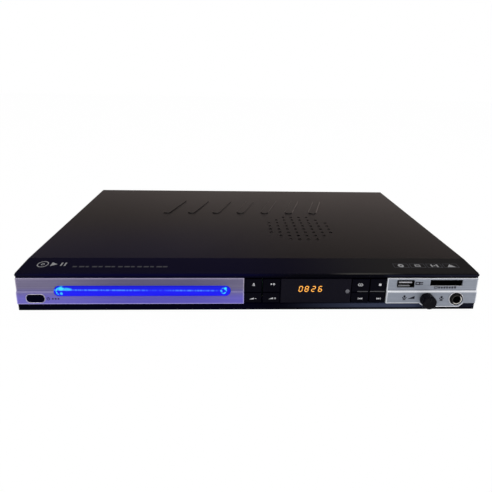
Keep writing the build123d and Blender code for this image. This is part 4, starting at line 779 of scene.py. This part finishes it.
def rounded(corners, radius, steps=6):
    """A closed outline in mm with rounded corners: at each corner C the curve
    (1 - s)^2 A + 2 s (1 - s) C + s^2 B, where A and B lie a radius before and after it."""
    corners = np.array(corners, dtype=float)
    before, after = np.roll(corners, 1, axis=0), np.roll(corners, -1, axis=0)
    to_before = (before - corners) / np.linalg.norm(before - corners, axis=1, keepdims=True)
    to_after = (after - corners) / np.linalg.norm(after - corners, axis=1, keepdims=True)
    share = np.linspace(0, 1, steps)[None, :, None]
    start, end = corners + to_before * radius, corners + to_after * radius
    middle = corners[:, None]
    curve = (1 - share) ** 2 * start[:, None] + 2 * share * (1 - share) * middle + share**2 * end[:, None]
    return curve.reshape(-1, 2)


def printed(name, outlines, origin, shader, body, right=(1, 0, 0), up=(0, 0, 1), height=0.03):
    """Flat symbols with a tiny height: closed outlines in mm on the plane of right and up, which is
    the front unless the call names another. A point (u, v) lies at origin + u right + v up."""
    right, up, origin = (np.array(v, dtype=float) for v in (right, up, origin))
    out = np.cross(right, up)
    points, faces, start = [], [], 0
    for outline in outlines:
        flat = origin + np.array(outline, dtype=float) @ np.stack((right, up))
        count = len(flat)
        points.append(np.concatenate((flat + out * height, flat)) * MM)
        faces.append(tuple(range(start, start + count)))
        faces.append(tuple(range(start + 2 * count - 1, start + count - 1, -1)))
        faces.extend(grid_faces(2, count, start=start))
        start += 2 * count
    return mesh_piece(name, np.concatenate(points), faces, shader, body, smooth=False)


def bar(x0, y0, x1, y1):
    """Outline of an upright rectangle from its lower left to its upper right corner."""
    return [(x0, y0), (x1, y0), (x1, y1), (x0, y1)]


def ring(x, y, outer, inner, steps=24, start=0.0, sweep=1.0):
    """Ring or arc as small quads between (x, y) + outer e and (x, y) + inner e, where e turns from
    start through sweep, both as shares of a turn."""
    angle = 2 * np.pi * (start + sweep * np.linspace(0, 1, steps + 1))
    edge = np.stack((np.cos(angle), np.sin(angle)), -1)
    centre = np.array((x, y))
    rim, hole = centre + edge * outer, centre + edge * inner
    return [[rim[i], rim[i + 1], hole[i + 1], hole[i]] for i in range(steps)]


def frame_line(x0, y0, x1, y1, line):
    """Four bars that make a rectangular outline."""
    return [
        bar(x0, y0, x1, y0 + line), bar(x0, y1 - line, x1, y1),
        bar(x0, y0 + line, x0 + line, y1 - line), bar(x1 - line, y0 + line, x1, y1 - line),
    ]


def shifted(outlines, x, y, scale=1.0):
    """Outlines made larger by scale, then moved by (x, y)."""
    return [np.array(outline, dtype=float) * scale + (x, y) for outline in outlines]


# %% [markdown]
# Symbols on the keys are pale ink. Triangles, bars and wedges say what each key does, so no words
# are needed: a wedge with a plus or a minus is volume, two joined rings are the sound channels. The
# places are millimetres from the middle of the case and from the table.

# %% Key symbols
INK_GRAIN, INK_RELIEF = 900.0, 0.000005
ink_white = satin("ink_white", (0.46, 0.46, 0.48), 0.5, INK_GRAIN, INK_RELIEF)
TRIANGLE = np.array([(-0.75, -0.85), (0.75, 0.0), (-0.75, 0.85)])
BACK_TRIANGLE = TRIANGLE * (-1, 1)
WEDGE = [(-2.9, -0.65), (0.7, -0.65), (0.7, 0.75)]
EJECT = [[(-0.95, -0.1), (0.95, -0.1), (0.0, 1.4)], bar(-0.95, -1.2, 0.95, -0.65)]
PLAY_PAUSE = shifted([TRIANGLE], -0.9, 0.0) + [bar(0.3, -0.85, 0.8, 0.85), bar(1.15, -0.85, 1.65, 0.85)]
NEXT = shifted([TRIANGLE, TRIANGLE + (1.4, 0.0)], -1.0, 0.0) + [bar(1.3, -0.85, 1.7, 0.85)]
PREVIOUS = shifted([BACK_TRIANGLE, BACK_TRIANGLE - (1.4, 0.0)], 1.0, 0.0) + [bar(-1.7, -0.85, -1.3, 0.85)]
SYMBOLS = {
    "key_eject": (1.5, 26.4, EJECT),
    "key_play": (16.7, 26.7, PLAY_PAUSE),
    "key_volume_down": (1.1, 13.9, [WEDGE, bar(1.5, -0.2, 2.8, 0.2)]),
    "key_volume_up": (16.6, 14.1, [WEDGE, bar(1.5, -0.2, 3.1, 0.2), bar(2.1, -0.8, 2.5, 0.8)]),
    "key_channel": (87.4, 26.0, ring(-0.9, 0.0, 1.1, 0.7) + ring(0.9, 0.0, 1.1, 0.7)),
    "key_stop": (103.4, 26.1, [rounded(bar(-1.0, -1.0, 1.0, 1.0), 0.35)]),
    "key_previous": (88.0, 13.7, PREVIOUS),
    "key_next": (103.25, 13.65, NEXT),
}
for key, (x, z, outlines) in SYMBOLS.items():
    printed("ink_" + key, outlines, (x, box_mm(key)[0].y, z), ink_white, key)
print("symbols", len(SYMBOLS))

# %% [markdown]
# The two upper keys of the right group have a shallow groove along the foot, which catches the light
# as a grey line. This painted highlight is printed here in grey ink.

# %% Key lines
ink_line = satin("ink_line", (0.050, 0.050, 0.054), 0.4, INK_GRAIN, INK_RELIEF)
KEY_LINES = {"key_channel": (85.2, 93.9), "key_stop": (95.6, 107.8)}
for key, (start, end) in KEY_LINES.items():
    low = box_mm(key)[0]
    printed("line_" + key, [bar(start, 0.1, end, 0.9)], (0, low.y, low.z), ink_line, key)
print("key lines", KEY_LINES)

# %% [markdown]
# The display is a four-digit counter of slanted glowing bars, seven to a digit. Each bar is printed
# twice: a wide dim orange one, and a narrow pale yellow one on top of it.

# %% Display digits


def glow(name, low, high, strength):
    """Light-emitting ink with small grains."""
    s = Shader(name)
    colour = s.mix(s.noise(1500.0, 2.0), low, high)
    s.set(Base_Color=(0.25, 0.08, 0.01), Roughness=0.4, Emission_Color=colour, Emission_Strength=strength)
    return s


DIGIT_WIDTH, DIGIT_HEIGHT, DIGIT_SLANT = 2.5, 4.5, 0.16
SEGMENT_CODE = ("abcdef", "bc", "abged", "abgcd", "fgbc", "afgcd", "afgedc", "abc", "abcdefg", "abcdfg")


def segment(ends, width):
    """A bar with pointed ends from one point to another, leaning with the digit."""
    start, end = np.array(ends, dtype=float).reshape(2, 2)
    along = (end - start) / np.linalg.norm(end - start)
    side = np.array((-along[1], along[0])) * width / 2
    tip = along * width / 2
    start, end = start + along * 0.15, end - along * 0.15
    one_side = [start, start + tip + side, end - tip + side]
    outline = np.array(one_side + [end, end - tip - side, start + tip - side])
    outline[:, 0] += outline[:, 1] * DIGIT_SLANT
    return outline


def digit(number, x, width):
    """Outlines of one digit: bars a to f clockwise from the top, and g across the middle."""
    w, h = DIGIT_WIDTH / 2, DIGIT_HEIGHT / 2
    ends = {
        "a": (-w, h, w, h), "b": (w, 0, w, h), "c": (w, -h, w, 0), "d": (-w, -h, w, -h),
        "e": (-w, -h, -w, 0), "f": (-w, 0, -w, h), "g": (-w, 0, w, 0),
    }
    return shifted([segment(ends[letter], width) for letter in SEGMENT_CODE[number]], x, 0.0)


lens_face = box_mm("display_lens")[0].y
COUNTER = {39.3: 0, 44.1: 8, 49.6: 2, 55.0: 6}
LAYERS = {
    "counter_edge": (0.80, 0.03, glow("amber_edge", (0.30, 0.045, 0.0), (0.55, 0.12, 0.002), 1.0)),
    "counter_core": (0.34, 0.06, glow("amber_core", (1.0, 0.40, 0.01), (1.0, 0.66, 0.13), 1.5)),
}
for name, (width, height, ink) in LAYERS.items():
    outlines = [outline for x, number in COUNTER.items() for outline in digit(number, x, width)]
    printed(name, outlines, (0.0, lens_face, 22.4), ink, "player", height=height)
print("counter", *COUNTER.values())

# %% [markdown]
# Behind the right end of the window sits the receiver of the remote control. Its dome shows
# through as a soft grey disc.

# %% Receiver dot
dome = satin("receiver_dome", (0.10, 0.10, 0.115), 0.3, 900.0, 0.00001)
DOME_RADIUS, DOME_HEIGHT = 1.7, 0.22
dome_place = (77.3, lens_face, 20.2)
quarter = np.linspace(0, math.pi / 2, 10)
dome_profile = [(DOME_RADIUS * math.sin(a), DOME_HEIGHT * math.cos(a)) for a in quarter] + [(0.0, 0.0)]
turned("receiver_dot", dome_profile, dome_place, (0, -1, 0), dome, "player", 40)
print("receiver dome", 2 * DOME_RADIUS, "mm wide")

# %% [markdown]
# Dark ink on the silver plates marks what each control is for with a small picture: a power ring, a
# plug, a memory card, a microphone, and a wedge for its volume.

# %% Plate symbols
ink_dark = satin("ink_dark", (0.006, 0.005, 0.012), 0.5, INK_GRAIN, INK_RELIEF)
MICROPHONE = [rounded(bar(-0.75, -0.2, 0.75, 1.7), 0.6)] + ring(0.0, 0.3, 1.65, 1.05, 12, 0.5, 0.5)
MICROPHONE += [bar(-0.3, -1.7, 0.3, -1.3), bar(-1.1, -2.1, 1.1, -1.6)]
SMALL_WEDGE = [[(-1.8, -0.8), (1.8, -0.8), (1.8, 0.9)]]
PLUG = frame_line(-2.6, -1.2, 0.8, 1.2, 0.75) + [bar(0.8, -0.95, 2.9, -0.25), bar(0.8, 0.25, 2.9, 0.95)]
CARD = frame_line(-1.5, -1.1, 1.5, 1.1, 0.5) + [bar(x, 0.25, x + 0.35, 0.9) for x in (-0.95, -0.3, 0.35)]
DASHES = [bar(x, -0.9, x + 1.5, 0.9) for x in np.arange(-5.6, 8.0, 2.2)]
POWER = ring(-3.7, 0, 1.3, 0.8, 20, 0.31, 0.88) + [bar(-3.95, 0.2, -3.45, 1.6)]
POWER += [bar(x, -0.6, x + 1.3, 0.6) for x in (-0.9, 1.3, 3.5)]
MICROPHONE_VOLUME = shifted(MICROPHONE, -3.6, 0, 1.15) + shifted(SMALL_WEDGE, 2.0, 0, 1.6)
PLATE_MARKS = {
    "mark_power": (-155.9, 14.3, POWER),
    "mark_plug": (135.3, 27.0, shifted(PLUG, 0, 0, 1.15)),
    "mark_card": (157.2, 23.3, shifted(CARD, -7.6, 0, 0.95) + DASHES),
    "mark_volume": (127.8, 14.9, MICROPHONE_VOLUME),
    "mark_microphone": (155.0, 14.2, shifted(MICROPHONE, 0, 0, 1.15)),
}
LEDGE_DEPTH = 1.0
LOWER_FACE = plate_low.y
UPPER_FACE = LOWER_FACE + LEDGE_DEPTH
for name, (x, z, outlines) in PLATE_MARKS.items():
    face = UPPER_FACE if z > LEDGE_TOP else LOWER_FACE
    printed(name, outlines, (x, face, z), ink_dark, "player")
print("plate faces", round(UPPER_FACE, 2), "and", round(LOWER_FACE, 2), "mm")

# %% [markdown]
# Grey ink on the sloping nose carries only generic pictures: a disc with a play triangle and a row
# of dashes on the left, and four small frames on the right.

# %% Nose symbols
ink_grey = satin("ink_grey", (0.190, 0.190, 0.195), 0.45, INK_GRAIN, INK_RELIEF)
ink_faint = satin("ink_faint", (0.034, 0.034, 0.040), 0.45, INK_GRAIN, INK_RELIEF)
NOSE_TOP = 36.1
nose_low, nose_high = box_mm("front_bezel")
SEAM = np.array((0.0, box_mm("top_cover")[0].y, nose_high.z))
TIP = np.array((0.0, nose_low.y, NOSE_TOP))
slope_up = (SEAM - TIP) / np.linalg.norm(SEAM - TIP)
DISC_MARK = ring(0, 0, 4.4, 3.7, 36) + ring(0, 0, 1.4, 0.8, 20) + [[(6.6, -2.8), (11.6, 0.0), (6.6, 2.8)]]
DISC_MARK += [bar(x, -2.4, x + 1.2, 2.4) for x in (14.2, 17.2)]
WIDTHS = (3.4, 4.2, 2.6, 4.0, 3.2, 4.4, 2.8, 3.8, 4.2, 3.0, 3.6, 4.0, 3.0, 4.4, 3.6)
ROW = [bar(x, -0.9, x + w, 0.9) for x, w in zip(np.arange(0, 74, 5.1), WIDTHS)]
FRAMES = [outline for x in (0, 14, 28, 42) for outline in frame_line(x, -3.0, x + 12.5, 3.0, 0.4)]
PICTURES = ring(6.2, 0.0, 2.4, 0.9) + shifted(CARD, 20.2, 0.0, 1.5)
PICTURES += [bar(31.5, -1.8, 32.9, 1.8), bar(33.8, -0.7, 35.2, 0.7), bar(36.1, -2.0, 37.5, 2.0)]
PICTURES += [[(44.6, -2.1), (48.2, 2.1), (51.8, -2.1)]]
NOSE_MARKS = {
    "nose_disc": (-167.4, 14.0, DISC_MARK, ink_grey),
    "nose_row": (-142.7, 10.5, ROW, ink_faint),
    "nose_frames": (117.5, 12.5, FRAMES, ink_faint),
    "nose_pictures": (117.5, 12.5, PICTURES, ink_grey),
}
for name, (x, up_from_tip, outlines, ink) in NOSE_MARKS.items():
    origin = TIP + slope_up * up_from_tip + np.array((x, 0, 0))
    printed(name, outlines, origin, ink, "player", up=slope_up)
print("nose marks", list(NOSE_MARKS))

# %% [markdown]
# The volume knob is turned plastic with 24 flutes. Its radius is r(1 - d(1 - cos 24a) / 2), where the
# depth d fades to nothing at both ends, and its front is a shallow dish with a raised line as
# pointer. It stands in for the plain knob of the CAD model, on the same body.

# %% Knob
knob_low, knob_high = box_mm("volume_knob")
knob_mid = (knob_low + knob_high) / 2
knob_radius = (knob_high.x - knob_low.x) / 2
knob_length = knob_high.y - knob_low.y
FLUTES, FLUTE_DEPTH = 24, 0.035
FACE_SHARE, EDGE_ROUND, DISH_DEPTH = 0.84, 0.88, 0.30
across = np.linspace(0, knob_radius * FACE_SHARE, 14)
dish = [(r, knob_length - 0.45 + DISH_DEPTH * (r / across[-1]) ** 2) for r in across]
turn = np.linspace(0, np.pi / 2, 8)[1:]
edge_along = knob_length - 0.15 - EDGE_ROUND * (1 - np.cos(turn))
edge = list(zip(across[-1] + EDGE_ROUND * np.sin(turn), edge_along))
side = [(knob_radius, t) for t in np.linspace(knob_length - 1.2, 0.8, 10)]
knob_profile = dish + edge + side + [(knob_radius * 0.94, 0.3), (knob_radius * 0.9, 0.0), (0.0, 0.0)]


def flutes(radius, along, angle):
    """Flutes on the side, and a pointer ridge on the face towards angle 90 degrees."""
    mask = np.clip((radius / knob_radius - 0.86) / 0.1, 0, 1) * np.clip(along / 1.5, 0, 1)
    radius = radius * (1 - FLUTE_DEPTH * mask * (0.5 - 0.5 * np.cos(FLUTES * angle)))
    off_line = np.abs(radius * np.cos(angle))
    on_face = (along > knob_length - 0.6) & (radius > 1.2) & (radius < knob_radius * FACE_SHARE)
    return radius, along + (on_face & (np.sin(angle) > 0)) * 0.22 * np.clip(1 - off_line / 0.55, 0, 1)


knob_plastic = satin("knob_plastic", (0.0014, 0.0013, 0.0030), 0.25, 1500.0, 0.00001, specular=0.06)
knob = turned(
    "fluted_knob", knob_profile, (knob_mid.x, knob_high.y, knob_mid.z), (0, -1, 0), knob_plastic,
    "volume_knob", steps=FLUTES * 12, shape=flutes,
)
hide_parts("volume_knob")
print("knob", round(2 * knob_radius, 2), "mm wide,", round(knob_length, 2), "mm long")

# %% [markdown]
# The microphone socket has a turned mouth of nickel. On the left and above it is painted dark as
# shade; on the right and below it keeps its bright nickel as a painted highlight.

# %% Microphone socket
jack_low, jack_high = box_mm("mic_jack")
jack_x, jack_z = (jack_low.x + jack_high.x) / 2, (jack_low.z + jack_high.z) / 2
nickel = metal("nickel", (0.74, 0.72, 0.68), 0.2, 900.0, ALONG_Y, 0.15)
# Painted highlight on the right and below; painted shade elsewhere.
highlight_right = nickel.between(nickel.axis("X"), jack_x + 2.0, jack_x + 3.2)
highlight_below = nickel.between(0 - nickel.axis("Z"), 2.2 - jack_z, 3.3 - jack_z)
mouth_highlight = nickel.larger(highlight_right, highlight_below)
nickel.set(Base_Color=nickel.mix(mouth_highlight, (0.035, 0.033, 0.030), (0.74, 0.72, 0.68)))
LINING = [(3.26, 0.0), (3.26, 0.30), (3.42, 0.46), (3.75, 0.50), (4.0, 0.36), (4.1, 0.1), (4.1, 0.0)]
mouth_place = (jack_x, jack_low.y, jack_z)
turned("mic_mouth", LINING, mouth_place, (0, -1, 0), nickel, "player", closed=True)
print("socket at", round(jack_x, 2), round(jack_z, 2), "mm")

# %% [markdown]
# The silver plates have bright rims: a thin half-round bead round the power button and round the
# microphone socket, and a bright line along the foot of the tab that carries knob and socket. The
# beads stand for the bevelled edges of the plates and their bright metal is a painted highlight; the
# line along the tab's foot is a painted highlight alone. The bead is a half circle carried along a
# closed outline.

# %% Rims with painted highlights
rim_highlight_metal = metal("rim_highlight_metal", (0.86, 0.87, 0.92), 0.3, 900.0, contrast=0.1)


def bead(name, outline, face, width, height, shader):
    """A closed half-round bead on the plane y = face: outline point + width cos a outward, height sin a."""
    outline = np.array(outline, dtype=float)
    ahead = np.roll(outline, -1, axis=0) - np.roll(outline, 1, axis=0)
    outward = np.stack((ahead[:, 1], -ahead[:, 0]), -1) / np.linalg.norm(ahead, axis=1, keepdims=True)
    angle = np.linspace(0, np.pi, 9)
    reach = np.concatenate((width * np.cos(angle), [0.0]))
    lift = np.concatenate((height * np.sin(angle), [0.0]))
    flat = outline[None] + outward[None] * reach[:, None, None]
    depth = np.broadcast_to(face - lift[:, None], flat.shape[:2])
    points = np.stack((flat[..., 0], depth, flat[..., 1]), -1) * MM
    faces = grid_faces(len(angle) + 1, len(outline), closed_rows=True)
    return mesh_piece(name, points, faces, shader, "player")


def circle(x, z, radius, count=72):
    """Points of a circle: (x + r cos a, z + r sin a)."""
    angle = np.linspace(0, 2 * np.pi, count, endpoint=False)
    return np.stack((x + radius * np.cos(angle), z + radius * np.sin(angle)), -1)


button_low, button_high = box_mm("power_button")
RIM_GAP, RIM_WIDTH, RIM_HEIGHT, JACK_RIM_RADIUS = 0.35, 0.30, 0.22, 5.62
button = bar(button_low.x - RIM_GAP, button_low.z - RIM_GAP, button_high.x + RIM_GAP, button_high.z + RIM_GAP)
plate_rim = metal("plate_rim", (0.52, 0.50, 0.58), 0.35, 900.0, contrast=0.1)
# Painted highlight: bright metal on the beads and on the line along the tab's foot.
bead("power_rim", rounded(button, 3.6, 12), LOWER_FACE, RIM_WIDTH, RIM_HEIGHT, plate_rim)
bead("jack_rim", circle(jack_x, jack_z, JACK_RIM_RADIUS), LOWER_FACE, RIM_WIDTH, RIM_HEIGHT, rim_highlight_metal)
tab_heights = (BASE_TOP, plate_low.z, plate_low.z, BASE_TOP)
TAB_FOOT = np.stack((np.array(TAB_INSETS) + plate_low.x, tab_heights), -1)
tab_lines = []
for start, end in zip(TAB_FOOT, TAB_FOOT[1:]):
    inward = np.array((start[1] - end[1], end[0] - start[0])) / np.linalg.norm(end - start) * 0.5
    tab_lines.append([start, end, end + inward, start + inward])
printed("tab_rim", tab_lines, (0, LOWER_FACE, 0), rim_highlight_metal, "player")
print("tab foot", TAB_FOOT.round(1).tolist())

# %% [markdown]
# The screws of the cover have a cross recess. Its shade is painted on each head as a dark cross.

# %% Screw recesses
# Painted shade: the dark cross stands for the shade in the recess.
recess_shade = satin("recess_shade", (0.004, 0.004, 0.004), 0.6, INK_GRAIN, INK_RELIEF)
CROSS = [bar(-1.5, -0.3, 1.5, 0.3), bar(-0.3, 0.3, 0.3, 1.5), bar(-0.3, -1.5, 0.3, -0.3)]
screw_low, screw_high = box_mm("cover_screws")
SIDE_SCREWS_Y, SIDE_SCREWS_Z = (-60.0, 80.0), 10.0
REAR_SCREWS_X, REAR_SCREWS_Z = (-150.0, 0.0, 150.0), 34.0
HEADS = {
    "left": ((screw_low.x, 0, 0), (0, -1, 0), [(-y, SIDE_SCREWS_Z) for y in SIDE_SCREWS_Y]),
    "right": ((screw_high.x, 0, 0), (0, 1, 0), [(y, SIDE_SCREWS_Z) for y in SIDE_SCREWS_Y]),
    "rear": ((0, screw_high.y, 0), (-1, 0, 0), [(-x, REAR_SCREWS_Z) for x in REAR_SCREWS_X]),
}
for name, (origin, right, places) in HEADS.items():
    crosses = [outline for place in places for outline in shifted(CROSS, *place)]
    printed("recess_" + name, crosses, origin, recess_shade, "player", right=right)
print("crosses on", list(HEADS), "sides")

# %% [markdown]
# On the back the eight phono sockets have coloured insulating rings: yellow for the picture, white
# and red for sound, and green, blue and orange for the others. Each ring sits on the end of its
# collar, round the metal sleeve.

# %% Socket rings
sleeve_low, sleeve_high = box_mm("rca_sleeves")
RINGS = {
    "yellow": ((0.75, 0.50, 0.02), [(0, 1)]),
    "white": ((0.70, 0.70, 0.68), [(1, 1), (2, 0)]),
    "red": ((0.55, 0.02, 0.02), [(2, 1), (3, 0)]),
    "green": ((0.02, 0.28, 0.05), [(0, 0)]),
    "blue": ((0.02, 0.06, 0.45), [(1, 0)]),
    "orange": ((0.70, 0.18, 0.01), [(3, 1)]),
}
SLEEVE_RADIUS, COLLAR_RADIUS, COLLAR_REACH = 4.15, 4.8, 4.0
COLUMNS, ROWS = 4, 2
collar_end = box_mm("rear_panel")[1].y + COLLAR_REACH
column_step = (sleeve_high.x - sleeve_low.x - 2 * SLEEVE_RADIUS) / (COLUMNS - 1)
row_step = (sleeve_high.z - sleeve_low.z - 2 * SLEEVE_RADIUS) / (ROWS - 1)
bore = SLEEVE_RADIUS + 0.05
ring_profile = [(bore, 0.0), (bore, 0.25), (4.5, 0.34), (COLLAR_RADIUS, 0.2), (COLLAR_RADIUS, 0.0)]
for name, (colour, places) in RINGS.items():
    plastic = satin("ring_" + name, colour, 0.35, 900.0, 0.00001, specular=0.4)
    for column, row in places:
        x = sleeve_low.x + SLEEVE_RADIUS + column * column_step
        z = sleeve_low.z + SLEEVE_RADIUS + row * row_step
        turned(
            f"ring_{column}_{row}", ring_profile, (x, collar_end, z), (0, 1, 0), plastic,
            "player", 48, closed=True,
        )
print("ring steps", round(column_step, 2), round(row_step, 2), "mm, on y", round(collar_end, 2))
